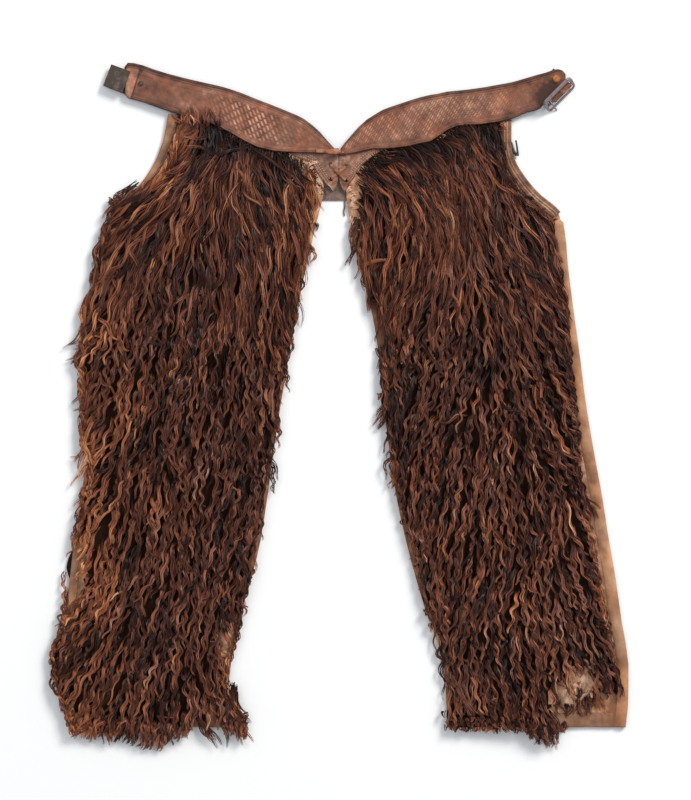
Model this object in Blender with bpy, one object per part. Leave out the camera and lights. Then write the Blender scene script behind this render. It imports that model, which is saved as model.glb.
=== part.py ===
"""Woolly leather chaps laid flat on their back: two closed legs of long-haired goat hide, a tooled belt in
two halves, laced at the front, with a strap loop at one end and a buckle at the other.

Sizes are in millimetres. X runs across, Y from the hems up to the belt, and Z up from the surface that the
chaps lie on. Heights in the tables are measured up from the hem line.
"""

import math

import bmesh
import bpy
import numpy as np
from mathutils import Vector

MM = 0.001
HEM_TO_CENTRE = 460.0  # how far the hem line lies below the middle of the whole garment
MIDDLE_X = 0.8  # where the middle of the whole garment lies across

# Leather and the order in which the pieces lie on each other
GAP = 0.3
BACK_THICK = 2.0
FRONT_THICK = 2.5
TRIM_THICK = 2.0
FRONT_UNDER = BACK_THICK + GAP
FRONT_TOP = FRONT_UNDER + FRONT_THICK
TRIM_UNDER = FRONT_TOP + GAP
TRIM_TOP = TRIM_UNDER + TRIM_THICK
BELT_UNDER = TRIM_TOP + GAP

# The outer edge of a leg, where the back is turned over to the front
FOLD_TOP = 7.4
FOLD_ROUND = 3.6
FOLD_UP_TO = 730.0

# The belt: two plies with a beaded edge
BELT_EDGE_THICK = 2.8
BELT_BEAD = 3.9
BELT_GROOVE = 3.2
BELT_FIELD = 3.8
BELT_CROWN = 4.2

# The pile of the coat
PILE_EDGE = 3.5
PILE_MIDDLE = 20.0
LOCK_RELIEF = 5.0
LOCK_STEP = 6.5
LOCK_LENGTH = 82.0
LOCK_WAVE = 2.4
LOCK_WAVE_LENGTH = 46.0
ROW_PITCH = 13.5
LOCKS_ACROSS = 14

# Each leg's leather. Columns: height above the hem, inner edge, outer edge
RIGHT_LEG = (
    (0, 158, 416), (39, 157, 420), (96, 153, 420), (154, 132, 410), (212, 114, 402),
    (269, 99, 392), (327, 86, 383), (399, 75, 370), (471, 66, 358), (543, 59, 349),
    (615, 46, 339), (672, 29, 332), (730, 19, 326), (752, 14, 310), (773, 13, 288),
    (795, 17, 270), (816, 30, 257), (834, 50, 252), (845, 94, 251), (852, 131, 251),
    (865, 153, 251), (878, 180, 251),
)
LEFT_LEG = (
    (0, -166, -382), (39, -160, -393), (96, -153, -397), (154, -143, -393), (212, -125, -387),
    (269, -111, -380), (327, -102, -372), (399, -92, -359), (471, -81, -356), (543, -69, -353),
    (615, -56, -346), (672, -43, -336), (730, -30, -324), (752, -24, -311), (770, -20, -297),
    (788, -20, -281), (809, -27, -267), (825, -45, -259), (837, -59, -255), (844, -115, -252),
    (852, -132, -250), (864, -151, -248), (873, -168, -246), (881, -190, -245), (888, -213, -244),
)
SIDE_STRIP = {"left": 13.0, "right": 17.0}  # how much of the turned-over back shows at the front

# Where the hair reaches on each leg. Columns: height above the hem, inner edge, outer edge
RIGHT_COAT = (
    (0, 157, 421), (30, 153, 419), (60, 158, 413), (96, 152, 405), (154, 129, 394),
    (212, 115, 382), (269, 99, 374), (327, 85, 364), (370, 79, 355), (413, 69, 351),
    (471, 58, 343), (543, 56, 335), (615, 46, 327), (672, 29, 316), (727, 19, 309),
    (741, 18, 299), (755, 18, 281), (773, 19, 264), (791, 28, 249), (809, 39, 240),
    (824, 56, 238), (831, 76, 237), (835, 95, 236), (841, 127, 236), (851, 147, 235),
    (860, 160, 235), (866, 181, 235),
)
LEFT_COAT = (
    (0, -128, -385), (24, -134, -397), (53, -150, -408), (82, -157, -414), (106, -153, -414),
    (130, -147, -408), (154, -141, -398), (183, -131, -391), (212, -122, -391), (240, -117, -394),
    (269, -111, -384), (327, -103, -372), (385, -95, -361), (413, -89, -368), (456, -80, -372),
    (500, -76, -374), (543, -67, -373), (586, -61, -370), (615, -55, -363), (644, -47, -356),
    (687, -38, -346), (723, -30, -337), (752, -25, -324), (766, -23, -308), (776, -28, -290),
    (788, -38, -272), (799, -45, -258), (809, -48, -248), (819, -59, -243), (825, -74, -240),
    (831, -109, -238), (839, -127, -236), (849, -145, -233), (859, -164, -229), (866, -180, -224),
    (872, -195, -219),
)
# Where the coat's lowest hair ends. Columns: place across, height over the hem line
RIGHT_DROP = (
    (150, -12), (190, -15), (240, -20), (270, -28), (297, -38), (317, -27), (328, -2), (342, 24), (420, 32),
)
LEFT_DROP = (
    (-400, -16), (-382, -20), (-300, -22), (-243, -35), (-224, -12), (-204, 12), (-180, 13), (-156, -20),
    (-128, -25),
)
DROP_FADES_BY = 80.0
# Long tufts that stand out past the coat's edge. Columns: height, which edge, reach, half width
RIGHT_TUFTS = (
    (612, "inner", 7, 9), (470, "inner", 5, 10), (330, "inner", 6, 12), (165, "inner", 8, 12),
    (22, "inner", 6, 12),
)
LEFT_TUFTS = (
    (755, "outer", 15, 9), (692, "outer", 6, 10), (608, "outer", 8, 12), (533, "outer", 14, 9),
    (415, "outer", 8, 11), (228, "outer", 8, 11), (106, "outer", 7, 10), (490, "inner", 6, 10),
    (330, "inner", 6, 11), (215, "inner", 7, 10), (22, "inner", 5, 12),
)

# The belt halves. Columns: place across, top edge, bottom edge
LEFT_BELT = (
    (-307, 952, 913), (-302, 958, 907), (-289, 957, 904), (-266, 949, 896), (-243, 942, 888),
    (-212, 934, 879), (-190, 929, 873), (-168, 924, 864), (-151, 919, 855), (-132, 912, 844),
    (-115, 905, 836), (-94, 897, 831), (-72, 888, 829), (-48, 877, 828), (-36, 868, 828),
    (-24, 857, 827), (-13, 844, 827), (-2, 832, 825),
)
RIGHT_BELT = (
    (2, 830, 824), (10, 842, 826), (19, 852, 827), (30, 865, 829), (42, 876, 832), (53, 883, 834),
    (65, 890, 834), (84, 897, 835), (105, 904, 838), (122, 909, 842), (135, 912, 845),
    (148, 914, 854), (161, 917, 862), (174, 918, 867), (192, 920, 868), (213, 923, 870),
    (235, 927, 873), (251, 930, 877), (272, 936, 886), (293, 942, 893), (299, 943.5, 901),
    (306, 946, 909), (312, 948, 916), (318, 949, 922), (324, 947, 928), (330, 940, 933),
)

# The laced tabs below the belt. Columns: height above the hem, inner edge, outer edge
LEFT_TAB = (
    (774, -5, -7.5), (778, -3, -10), (782, -1, -15), (788, 0.5, -20), (795, 1.3, -25), (802, 1.7, -30),
    (809, 1.7, -34), (815, 1.7, -38), (822, 1.7, -56), (827, 1.7, -68), (835, 1.7, -76),
)
RIGHT_TAB = (
    (774, 9.5, 12.4), (778, 7, 14), (784, 4, 17), (792, 2.9, 24), (801, 2.6, 28), (809, 2.6, 33.5),
    (816, 2.6, 41), (823, 2.6, 50), (829, 2.6, 60), (835, 2.6, 70), (841, 2.6, 82),
)
LACE_HOLES = {  # across, height
    "left_upper": (-10.0, 812.0),
    "left_lower": (-9.4, 790.5),
    "right_upper": (12.0, 809.5),
    "right_lower": (12.4, 789.0),
}
LACE_HOLE_RADIUS = 3.2
LACE_WIDTH = 4.0
LACE_THICK = 1.4

BINDING_WIDTH = 15.0
HEM_BAND_WIDTH = 15.0

# The strap loop at the left end of the belt
LOOP_WIDTH = 33.0
LOOP_THICK = 2.2
LOOP_ANGLE = math.radians(-21.0)
LOOP_END = (-331.0, 940.0)  # the middle of its fold
LOOP_OVER = 29.0
LOOP_UNDER = 52.0
LOOP_RIVET_AT = (-283.0, 928.0)
LOOP_RIVET_RADIUS = 3.6

# The buckle at the right end of the belt: a frame with a centre bar, tipped on its lower side
BUCKLE_AT = (319.5, 911.5)
BUCKLE_ANGLE = math.radians(45.0)
BUCKLE_TILT = math.radians(57.0)
BUCKLE_LONG = 52.0
BUCKLE_SHORT = 26.0
BUCKLE_ROD = 2.0
BUCKLE_BAR_Z = 13.5
CHAPE_WIDTH = 24.0
CHAPE_THICK = 1.8
CHAPE_ALONG = 6.0  # how far up the bar from its middle the chape holds it
# Where the chape's two ends run from the bar to under the belt. Columns: place inwards, level
CHAPE_UPPER = ((4.4, 12.8), (6.2, 8.6), (6.9, 6.3), (9.0, 6.0), (33.0, 6.0))
CHAPE_LOWER = ((2.8, 8.7), (4.3, 5.6), (6.2, 3.8), (9.0, 3.7), (31.0, 3.7))
TONGUE_ALONG = -17.0
TONGUE_ROD = 1.3
TONGUE_LENGTH = 17.5
CHAPE_RIVET_AT = (315.5, 934.5)
CHAPE_RIVET_RADIUS = 5.5

# The bent wire hook at the right hip
HOOK_ROD = 1.3
HOOK_PATH = (
    (253.5, 838, 2.4), (255.4, 830, 2.6), (259.3, 823.5, 3.4), (261.0, 826, 5.0), (260.0, 836, 6.4),
    (259.0, 848, 7.0),
)

GUSSET_TOP = 806.0
GUSSET_BOTTOM = 760.0
LACE_END_PATH = ((10.0, 759.5), (10.4, 751.0), (9.0, 744.0), (10.2, 738.0))
LACE_END_RADIUS = 1.1

BROWN_LEATHER = (0.205, 0.090, 0.052)
DARK_LEATHER = (0.075, 0.052, 0.040)
TAN_LEATHER = (0.400, 0.225, 0.125)
GREY_LEATHER = (0.240, 0.190, 0.150)
DARK_BROWN_HAIR = (0.085, 0.034, 0.022)
RUSTY_NICKEL = (0.330, 0.270, 0.270)
RUST = (0.330, 0.120, 0.040)
DARK_IRON = (0.045, 0.045, 0.045)


# Scene and materials


def clear_scene():
    for old in list(bpy.data.objects):
        bpy.data.objects.remove(old)


def finish(name, colour, roughness, metallic=0.0):
    material = bpy.data.materials.get(name) or bpy.data.materials.new(name)
    material.use_nodes = True
    shader = material.node_tree.nodes["Principled BSDF"]
    shader.inputs["Base Color"].default_value = (*colour, 1.0)
    shader.inputs["Roughness"].default_value = roughness
    shader.inputs["Metallic"].default_value = metallic
    return material


def placed(point):
    """A point of the tables, across, height and level, in metres in the part's own frame."""
    across, height, level = point
    return ((across - MIDDLE_X) * MM, (height - HEM_TO_CENTRE) * MM, level * MM)


def solid(name, points, faces, material):
    """A named object from points in the tables' own frame."""
    mesh = bpy.data.meshes.new(name)
    mesh.from_pydata([placed(p) for p in points], [], faces)
    shaped = bmesh.new()
    shaped.from_mesh(mesh)
    bmesh.ops.recalc_face_normals(shaped, faces=shaped.faces)
    shaped.to_mesh(mesh)
    shaped.free()
    mesh.shade_smooth()
    mesh.set_sharp_from_angle(angle=math.radians(40))
    mesh.materials.append(material)
    body = bpy.data.objects.new(name, mesh)
    bpy.context.scene.collection.objects.link(body)
    return body


def loft(name, sections, material, closed=False):
    """A solid through closed sections that all have the same number of points."""
    count = len(sections[0])
    points = [p for section in sections for p in section]
    faces = []
    last = len(sections) if closed else len(sections) - 1
    for i in range(last):
        here, there = i * count, (i + 1) % len(sections) * count
        for j in range(count):
            k = (j + 1) % count
            faces.append((here + j, here + k, there + k, there + j))
    if not closed:
        faces.append(tuple(range(count)))
        faces.append(tuple(range(len(points) - count, len(points))))
    return solid(name, points, faces, material)


# Curves through the tables


def column(rows, index):
    return np.array([row[index] for row in rows], float)


def smooth_through(at, values):
    """A smooth curve through the values, which gives the value at any place."""
    slopes = np.gradient(values, at)

    def value(x):
        x = min(max(x, at[0]), at[-1])
        i = int(min(max(np.searchsorted(at, x) - 1, 0), len(at) - 2))
        step = at[i + 1] - at[i]
        t = (x - at[i]) / step
        low, high = values[i], values[i + 1]
        rise = (high - low) / step
        first, second = slopes[i], slopes[i + 1]
        if rise == 0 or first * rise <= 0:
            first = 0.0
        if rise == 0 or second * rise <= 0:
            second = 0.0
        steepest = 2.5 * abs(rise)
        first = math.copysign(min(abs(first), steepest), first)
        second = math.copysign(min(abs(second), steepest), second)
        t2, t3 = t * t, t * t * t
        return (
            (2 * t3 - 3 * t2 + 1) * low
            + (t3 - 2 * t2 + t) * step * first
            + (3 * t2 - 2 * t3) * high
            + (t3 - t2) * step * second
        )

    return value


def edges_of(rows):
    """The inner and outer edge of a piece at any height, or the top and bottom edge of a belt across it."""
    at = column(rows, 0)
    return smooth_through(at, column(rows, 1)), smooth_through(at, column(rows, 2))


def spread(low, high, pitch):
    return np.linspace(low, high, max(2, round((high - low) / pitch) + 1))


def tube(name, path, radius, material, sides=8):
    """A round rod along a path, with flat ends."""
    path = [Vector(p) for p in path]
    sections = []
    upright = abs((path[1] - path[0]).normalized().z) > 0.9
    side = Vector((1, 0, 0)) if upright else Vector((0, 0, 1))
    for i, point in enumerate(path):
        along = (path[min(i + 1, len(path) - 1)] - path[max(i - 1, 0)]).normalized()
        side = (side - along * side.dot(along)).normalized()
        other = along.cross(side)
        sections.append([
            tuple(point + (side * math.cos(a) + other * math.sin(a)) * radius)
            for a in (2 * math.pi * k / sides for k in range(sides))
        ])
    return loft(name, sections, material)


def through(points, steps):
    """A smooth path through a few points."""
    points = [Vector(p) for p in points]
    path = []
    for i in range(len(points) - 1):
        before, after = points[max(i - 1, 0)], points[min(i + 2, len(points) - 1)]
        first, second = (points[i + 1] - before) / 2, (after - points[i]) / 2
        for k in range(steps):
            t = k / steps
            t2, t3 = t * t, t * t * t
            path.append(
                points[i] * (2 * t3 - 3 * t2 + 1)
                + first * (t3 - 2 * t2 + t)
                + points[i + 1] * (3 * t2 - 2 * t3)
                + second * (t3 - t2)
            )
    path.append(points[-1])
    return path


# The legs


LEGS = {
    "left": {"rows": LEFT_LEG, "coat": LEFT_COAT, "drop": LEFT_DROP, "tufts": LEFT_TUFTS, "out": -1},
    "right": {"rows": RIGHT_LEG, "coat": RIGHT_COAT, "drop": RIGHT_DROP, "tufts": RIGHT_TUFTS, "out": 1},
}


def leg_heights(rows):
    """Heights of a leg panel's sections: even up to the hip, and closer above it."""
    below = spread(0, FOLD_UP_TO, 30)
    above = spread(FOLD_UP_TO, rows[-1][0], 9)
    return [*below, *above[1:]]


def make_back(side):
    """The plain leather back of a leg, lying flat, with its outer margin turned over to the front."""
    leg = LEGS[side]
    inner, outer = edges_of(leg["rows"])
    heights = leg_heights(leg["rows"])
    out, strip = leg["out"], SIDE_STRIP[side]
    points, faces, chains, rails = [], [], [], []

    def add(across, height, level):
        points.append((across, height, level))
        return len(points) - 1

    for h in heights:
        folded = h <= FOLD_UP_TO
        rim = outer(h) - out * (FOLD_ROUND if folded else 0)
        low, high = add(inner(h), h, 0), add(inner(h), h, BACK_THICK)
        rail_low, rail_high = add(rim, h, 0), add(rim, h, BACK_THICK)
        rails.append((low, rail_low, rail_high, high))
        if not folded:
            continue
        middle = FOLD_TOP / 2
        outer_arc = [
            (rim + out * FOLD_ROUND * math.cos(a), middle + middle * math.sin(a))
            for a in (math.radians(d) for d in (-50, -15, 20, 55, 90))
        ]
        inner_round, inner_half = FOLD_ROUND - BACK_THICK, middle - BACK_THICK
        inner_arc = [
            (rim + out * inner_round * math.cos(a), middle + inner_half * math.sin(a))
            for a in (math.radians(d) for d in (90, 10))
        ]
        seam = outer(h) - out * strip
        profile = [
            *outer_arc,
            (seam, FRONT_UNDER + BACK_THICK),
            (seam, FRONT_UNDER),
            *inner_arc,
        ]
        chains.append([rail_low, *(add(x, h, z) for x, z in profile), rail_high])

    for i in range(len(heights) - 1):
        for j in range(4):
            if j == 1 and i + 1 < len(chains):
                continue
            k = (j + 1) % 4
            faces.append((rails[i][j], rails[i][k], rails[i + 1][k], rails[i + 1][j]))
    for here, there in zip(chains, chains[1:]):
        for j in range(len(here) - 1):
            faces.append((here[j], here[j + 1], there[j + 1], there[j]))
    faces.append((rails[0][0], *chains[0], rails[0][3]))
    faces.append(tuple(chains[-1]))
    faces.append(rails[-1])
    return solid(f"back_{side}", points, faces, finish("back leather", TAN_LEATHER, 0.7))


def make_front(side):
    """The haired front of a leg, under its coat: from the inside seam to the seam with the turned-over back."""
    leg = LEGS[side]
    inner, outer = edges_of(leg["rows"])
    sections = []
    for h in leg_heights(leg["rows"]):
        strip = SIDE_STRIP[side] + GAP if h <= FOLD_UP_TO else 0
        near, far = inner(h), outer(h) - leg["out"] * strip
        sections.append([
            (near, h, FRONT_UNDER), (far, h, FRONT_UNDER), (far, h, FRONT_TOP), (near, h, FRONT_TOP)
        ])
    return loft(f"front_{side}", sections, finish("hide", TAN_LEATHER, 0.75))


def make_binding(side):
    """The folded leather strip along the hip edge, lying on the front, with a raised bead at its inner side."""
    leg = LEGS[side]
    outer = edges_of(leg["rows"])[1]
    low = FOLD_UP_TO + 12 if side == "right" else 768.0
    heights = spread(low, leg["rows"][-1][0] - 1, 10)
    line = [Vector((outer(h), h)) for h in heights]
    profile = ((0.3, 1.4), (2.5, 2.0), (8.5, 1.7), (11.5, 2.0), (BINDING_WIDTH, 1.2))
    sections = []
    for i, point in enumerate(line):
        along = (line[min(i + 1, len(line) - 1)] - line[max(i - 1, 0)]).normalized()
        inward = Vector((-along.y, along.x)) * leg["out"]
        under = [(*(point + inward * w), TRIM_UNDER) for w in (BINDING_WIDTH, 0.3)]
        over = [(*(point + inward * w), TRIM_UNDER + t) for w, t in profile]
        sections.append(under + over)
    return loft(f"hip_binding_{side}", sections, finish("binding", TAN_LEATHER, 0.65))


def make_hem_band(side):
    """The plain leather band along the bottom of the front."""
    leg = LEGS[side]
    inner, outer = edges_of(leg["rows"])
    out = leg["out"]
    profile = ((0.5, 0.9), (3.0, 1.6), (HEM_BAND_WIDTH - 3, 1.6), (HEM_BAND_WIDTH, 0.9))
    sections = []
    for t in np.linspace(0, 1, 9):
        section = []
        for h, level in ((HEM_BAND_WIDTH, 0), (0.5, 0), *profile):
            near = inner(h) + out * 1.0
            far = outer(h) - out * (SIDE_STRIP[side] + GAP + 1.0)
            section.append((near + (far - near) * t, h, TRIM_UNDER + level))
        sections.append(section)
    return loft(f"hem_band_{side}", sections, finish("hem leather", TAN_LEATHER, 0.7))


def tuft_reach(tufts, edge, height):
    reach = 0.0
    for at, which, out, half_width in tufts:
        if which == edge:
            away = (height - at) / half_width
            reach += out * max(0.0, 1 - abs(away)) ** 0.8
    return reach


def make_coat(side):
    """The coat of one leg: long locks lying down the leg in overlapping tiers, over a flat underside."""
    leg = LEGS[side]
    out = leg["out"]
    inner, outer = edges_of(leg["coat"])
    leg_inner, leg_outer = edges_of(leg["rows"])
    drop = smooth_through(column(leg["drop"], 0), column(leg["drop"], 1))
    top = leg["coat"][-1][0]
    heights = list(spread(0, top - 60, ROW_PITCH)) + list(spread(top - 60, top, 7.5)[1:])
    columns = 2 * LOCKS_ACROSS + 1
    seeds = np.random.default_rng(7 if side == "left" else 11)
    tier_start = seeds.uniform(0, LOCK_LENGTH, columns)
    wave_start = seeds.uniform(0, 2 * math.pi, columns)
    lift = seeds.uniform(0.7, 1.2, (len(heights), columns))

    def lowered(across, height):
        fade = max(0.0, 1 - height / DROP_FADES_BY)
        return height + drop(across) * fade

    top_rows, under_rows = [], []
    for i, h in enumerate(heights):
        ragged = 2.5 * (1 + math.cos(2 * math.pi * h / 31 + (0 if side == "left" else 2)))
        fade_up = min(1.0, (top - h) / 60)
        near = inner(h) - out * (tuft_reach(leg["tufts"], "inner", h) + ragged * 0.5 * fade_up)
        far = outer(h) + out * tuft_reach(leg["tufts"], "outer", h)
        if side == "left":
            far -= ragged * fade_up
        row = []
        for j in range(columns):
            t = j / (columns - 1)
            open_edge = min(t, 1 - t) * 2
            body = 1 - (1 - open_edge) ** 3
            across = near + (far - near) * t
            wave = LOCK_WAVE * math.sin(2 * math.pi * h / LOCK_WAVE_LENGTH + wave_start[j // 2])
            across += wave * min(1.0, open_edge * 5) * fade_up
            step = 1 - ((h + tier_start[j // 2]) % LOCK_LENGTH) / LOCK_LENGTH
            pile = PILE_EDGE + (PILE_MIDDLE - PILE_EDGE) * body * lift[i, j]
            lock = body * (LOCK_STEP * step + (LOCK_RELIEF if j % 2 else 0.0))
            up_edge = min(1.0, 0.3 + 0.7 * (top - h) / 45)
            low_edge = min(1.0, 0.35 + 0.65 * h / 40)
            level = TRIM_UNDER + max(PILE_EDGE, (pile + lock) * up_edge * low_edge)
            row.append((across, lowered(across, h), max(level, TRIM_TOP + 3)))
        top_rows.append(row)
        raised = TRIM_TOP + 2 * GAP
        over_band = h < HEM_BAND_WIDTH + 14 or h > top - 12
        rest_near = out * max(out * near, out * leg_inner(h)) + out * 6
        rest_far = out * min(out * far, out * leg_outer(h)) - out * (BINDING_WIDTH + 6)
        if (rest_far - rest_near) * out < 12:
            over_band = True
            rest_near = near + (far - near) * 0.3
            rest_far = near + (far - near) * 0.7
        seat = raised if over_band else TRIM_UNDER
        under = [
            (near, raised), (rest_near, raised), (rest_near + out * 3, seat),
            (rest_far - out * 3, seat), (rest_far, raised), (far, raised),
        ]
        under_rows.append([(x, lowered(x, h), z) for x, z in under])

    points = [p for row in top_rows for p in row]
    base = len(points)
    points += [p for row in under_rows for p in row]
    under_count = len(under_rows[0])
    faces = []
    for i in range(len(heights) - 1):
        for j in range(columns - 1):
            a = i * columns + j
            faces.append((a, a + 1, a + 1 + columns, a + columns))
        for j in range(under_count - 1):
            a = base + i * under_count + j
            faces.append((a, a + under_count, a + 1 + under_count, a + 1))
        for j, k in ((0, 0), (columns - 1, under_count - 1)):
            a, b = i * columns + j, base + i * under_count + k
            faces.append((a, a + columns, b + under_count, b))
    for i in (0, len(heights) - 1):
        upper = [i * columns + j for j in range(columns)]
        lower = [base + i * under_count + j for j in range(under_count)]
        faces.append(tuple(upper + lower[::-1]))
    return solid(f"hair_{side}", points, faces, finish("hair", DARK_BROWN_HAIR, 0.6))


# The belt and what it carries


BELTS = {"left": LEFT_BELT, "right": RIGHT_BELT}
BELT_PROFILE = (
    (0.0, BELT_EDGE_THICK), (2.0, BELT_BEAD), (4.5, BELT_GROOVE), (7.5, BELT_FIELD),
)


def belt_section(top, bottom):
    """Levels across one section of the belt, from its top edge down, as places and thicknesses."""
    width = top - bottom
    squeeze = min(1.0, width / 22)
    upper = [(top - w * squeeze, t) for w, t in BELT_PROFILE]
    lower = [(bottom + w * squeeze, t) for w, t in reversed(BELT_PROFILE)]
    return [*upper, ((top + bottom) / 2, BELT_CROWN), *lower]


def belt_top(side, across, height):
    """The level of the belt's upper surface at one place."""
    top, bottom = edges_of(BELTS[side])
    section = belt_section(top(across), bottom(across))
    heights = [h for h, _ in reversed(section)]
    thick = [t for _, t in reversed(section)]
    return BELT_UNDER + float(np.interp(height, heights, thick))


def make_belt(side):
    """One half of the shaped belt, two plies thick, with beaded edges."""
    rows = BELTS[side]
    top, bottom = edges_of(rows)
    places = sorted({*column(rows, 0), *spread(rows[0][0], rows[-1][0], 14)})
    kept = [places[0]]
    for x in places[1:]:
        if x - kept[-1] > 4.5 or x == places[-1]:
            kept.append(x)
    sections = []
    for x in kept:
        high, low = top(x), bottom(x)
        under = [(x, low, BELT_UNDER), (x, high, BELT_UNDER)]
        over = [(x, h, BELT_UNDER + t) for h, t in belt_section(high, low)]
        sections.append(under + over)
    return loft(f"belt_{side}", sections, finish("belt leather", BROWN_LEATHER, 0.5))


def lace_hole_cutter(name, across, height):
    path = [(across, height, TRIM_UNDER - 2), (across, height, TRIM_TOP + 2)]
    cutter = tube(name, path, LACE_HOLE_RADIUS, finish("cutter", DARK_IRON, 0.5))
    cutter.hide_render = True
    cutter.display_type = "WIRE"
    return cutter


def make_tab(side):
    """The pointed leather tab below one belt half, with its edge bead and two lace holes."""
    rows = LEFT_TAB if side == "left" else RIGHT_TAB
    inner, outer = edges_of(rows)
    out = LEGS[side]["out"]
    sections = []
    for h in spread(rows[0][0], rows[-1][0], 5.0):
        near, far = inner(h), outer(h)
        bead = min(2.4, abs(far - near) * 0.35)
        profile = ((near, 1.7), (far - out * bead, 1.6), (far - out * bead * 0.4, 2.0), (far, 1.3))
        under = [(far, h, TRIM_UNDER), (near, h, TRIM_UNDER)]
        over = [(x, h, TRIM_UNDER + t) for x, t in profile]
        sections.append(under + over)
    tab = loft(f"tab_{side}", sections, finish("belt leather", BROWN_LEATHER, 0.5))
    for name, (across, height) in LACE_HOLES.items():
        if name.startswith(side):
            cut = tab.modifiers.new(name, "BOOLEAN")
            cut.operation = "DIFFERENCE"
            cut.solver = "EXACT"
            cut.object = lace_hole_cutter(f"cut_{name}", across, height)
    return tab


def strap(name, path, across, width, thick, material):
    """A flat strap of even thickness along a path; across is the direction of its width."""
    path = [Vector(p) for p in path]
    across = Vector(across).normalized()
    sections = []
    for i, point in enumerate(path):
        along = (path[min(i + 1, len(path) - 1)] - path[max(i - 1, 0)]).normalized()
        wide = (across - along * across.dot(along)).normalized() * width / 2
        up = along.cross(wide).normalized() * thick / 2
        corners = ((-wide, -up), (wide, -up), (wide, up), (-wide, up))
        sections.append([tuple(point + w + u) for w, u in corners])
    return loft(name, sections, material)


def make_lace_cross(name, start, end, level, rise):
    """One pass of the lace, up out of one hole, over the slit and down into the other."""
    start, end = Vector((*LACE_HOLES[start], 0)), Vector((*LACE_HOLES[end], 0))
    along = (end - start).normalized()
    on_top = level + LACE_THICK / 2
    middle = (start + end) / 2
    low, up = Vector((0, 0, TRIM_UNDER + 0.6)), Vector((0, 0, on_top))
    path = [
        start + along * 0.9 + low,
        start + along * 1.3 + up,
        start + along * 4.5 + up,
        middle + up + Vector((0, 0, rise)),
        end - along * 4.5 + up,
        end - along * 1.3 + up,
        end - along * 0.9 + low,
    ]
    sideways = (-along.y, along.x, 0)
    return strap(name, path, sideways, LACE_WIDTH, LACE_THICK, finish("lace", BROWN_LEATHER, 0.6))


def make_top_lace():
    """The worn lace that ties the two belt halves over their meeting point, with its knot."""
    lace = finish("lace", BROWN_LEATHER, 0.6)
    clear = GAP + 0.8
    path = [
        (-31, 831.5, BELT_UNDER + BELT_BEAD + clear),
        (-20, 831.0, BELT_UNDER + BELT_CROWN + clear),
        (-3, 829.0, BELT_UNDER + BELT_CROWN + clear),
        (9, 831.0, BELT_UNDER + BELT_CROWN + clear),
    ]
    strap("lace_top", through(path, 4), (0, 1, 0), 5.5, 1.4, lace)
    knot_height = 4.4
    level = BELT_UNDER + BELT_CROWN + clear + 0.7 + GAP
    sections = []
    for i in range(7):
        t = i / 6
        swell = 0.35 + 0.65 * math.sin(math.pi * t) ** 0.7
        x = -17 + 22 * t
        ring = []
        for k in range(8):
            a = 2 * math.pi * k / 8
            up = knot_height / 2 * (1 + swell * math.sin(a))
            ring.append((x, 829.6 + 4.2 * swell * math.cos(a), level + up))
        sections.append(ring)
    floor = min(p[2] for ring in sections for p in ring)
    sections = [[(x, y, z - floor + level) for x, y, z in ring] for ring in sections]
    return loft("lace_knot", sections, lace)


def make_gusset():
    """The thin leather that joins the two backs behind the tabs, and the free end of its lace."""
    edges, heights = [], {GUSSET_BOTTOM, GUSSET_TOP}
    for side in ("left", "right"):
        rows = LEGS[side]["rows"]
        at = leg_heights(rows)
        inner = edges_of(rows)[0]
        edges.append((at, [inner(h) for h in at]))
        heights |= {h for h in at if GUSSET_BOTTOM < h < GUSSET_TOP}
    sections = []
    for h in sorted(heights):
        near, far = (float(np.interp(h, at, across)) for at, across in edges)
        near, far = near + GAP, far - GAP
        sections.append([(near, h, 0), (far, h, 0), (far, h, 1.8), ((near + far) / 2, h, 2.2), (near, h, 1.8)])
    loft("gusset", sections, finish("gusset leather", GREY_LEATHER, 0.8))
    path = through([(x, h, LACE_END_RADIUS + 0.2) for x, h in LACE_END_PATH], 3)
    return tube("lace_end", path, LACE_END_RADIUS, finish("lace end", GREY_LEATHER, 0.7), 6)


def strap_frame(angle):
    """Along and across a strap that lies at an angle to the X axis."""
    return Vector((math.cos(angle), math.sin(angle), 0)), Vector((-math.sin(angle), math.cos(angle), 0))


def make_strap_loop():
    """The dark strap round the left end of the belt: out over it, back under it, open between for a belt."""
    along, across = strap_frame(LOOP_ANGLE)
    fold = Vector((*LOOP_END, 0))
    over = BELT_UNDER + BELT_CROWN + GAP + LOOP_THICK / 2
    under = BELT_UNDER - GAP - LOOP_THICK / 2
    middle, half = (over + under) / 2, (over - under) / 2
    path = [fold + along * LOOP_OVER + Vector((0, 0, over)), fold + along * 18 + Vector((0, 0, over))]
    for d in range(0, 181, 20):
        a = math.radians(90 - d)
        path.append(fold + along * (9 - 9 * math.cos(a)) + Vector((0, 0, middle + half * math.sin(a))))
    path.append(fold + along * 18 + Vector((0, 0, under)))
    path.append(fold + along * LOOP_UNDER + Vector((0, 0, under)))
    strap("strap_loop", path, across, LOOP_WIDTH, LOOP_THICK, finish("loop leather", DARK_LEATHER, 0.6))
    level = belt_top("left", *LOOP_RIVET_AT) + GAP + 0.3
    return rivet("loop_rivet", *LOOP_RIVET_AT, level, LOOP_RIVET_RADIUS, 1.8)


def rivet(name, across, height, level, radius, tall):
    """A domed rivet head."""
    sections = []
    for share, up in ((1.0, 0.0), (1.0, 0.35), (0.72, 0.8), (0.3, 1.0)):
        sections.append([
            (across + radius * share * math.cos(a), height + radius * share * math.sin(a), level + tall * up)
            for a in (2 * math.pi * k / 12 for k in range(12))
        ])
    return loft(name, sections, finish("rust", RUST, 0.8, 0.4))


# The buckle


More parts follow.
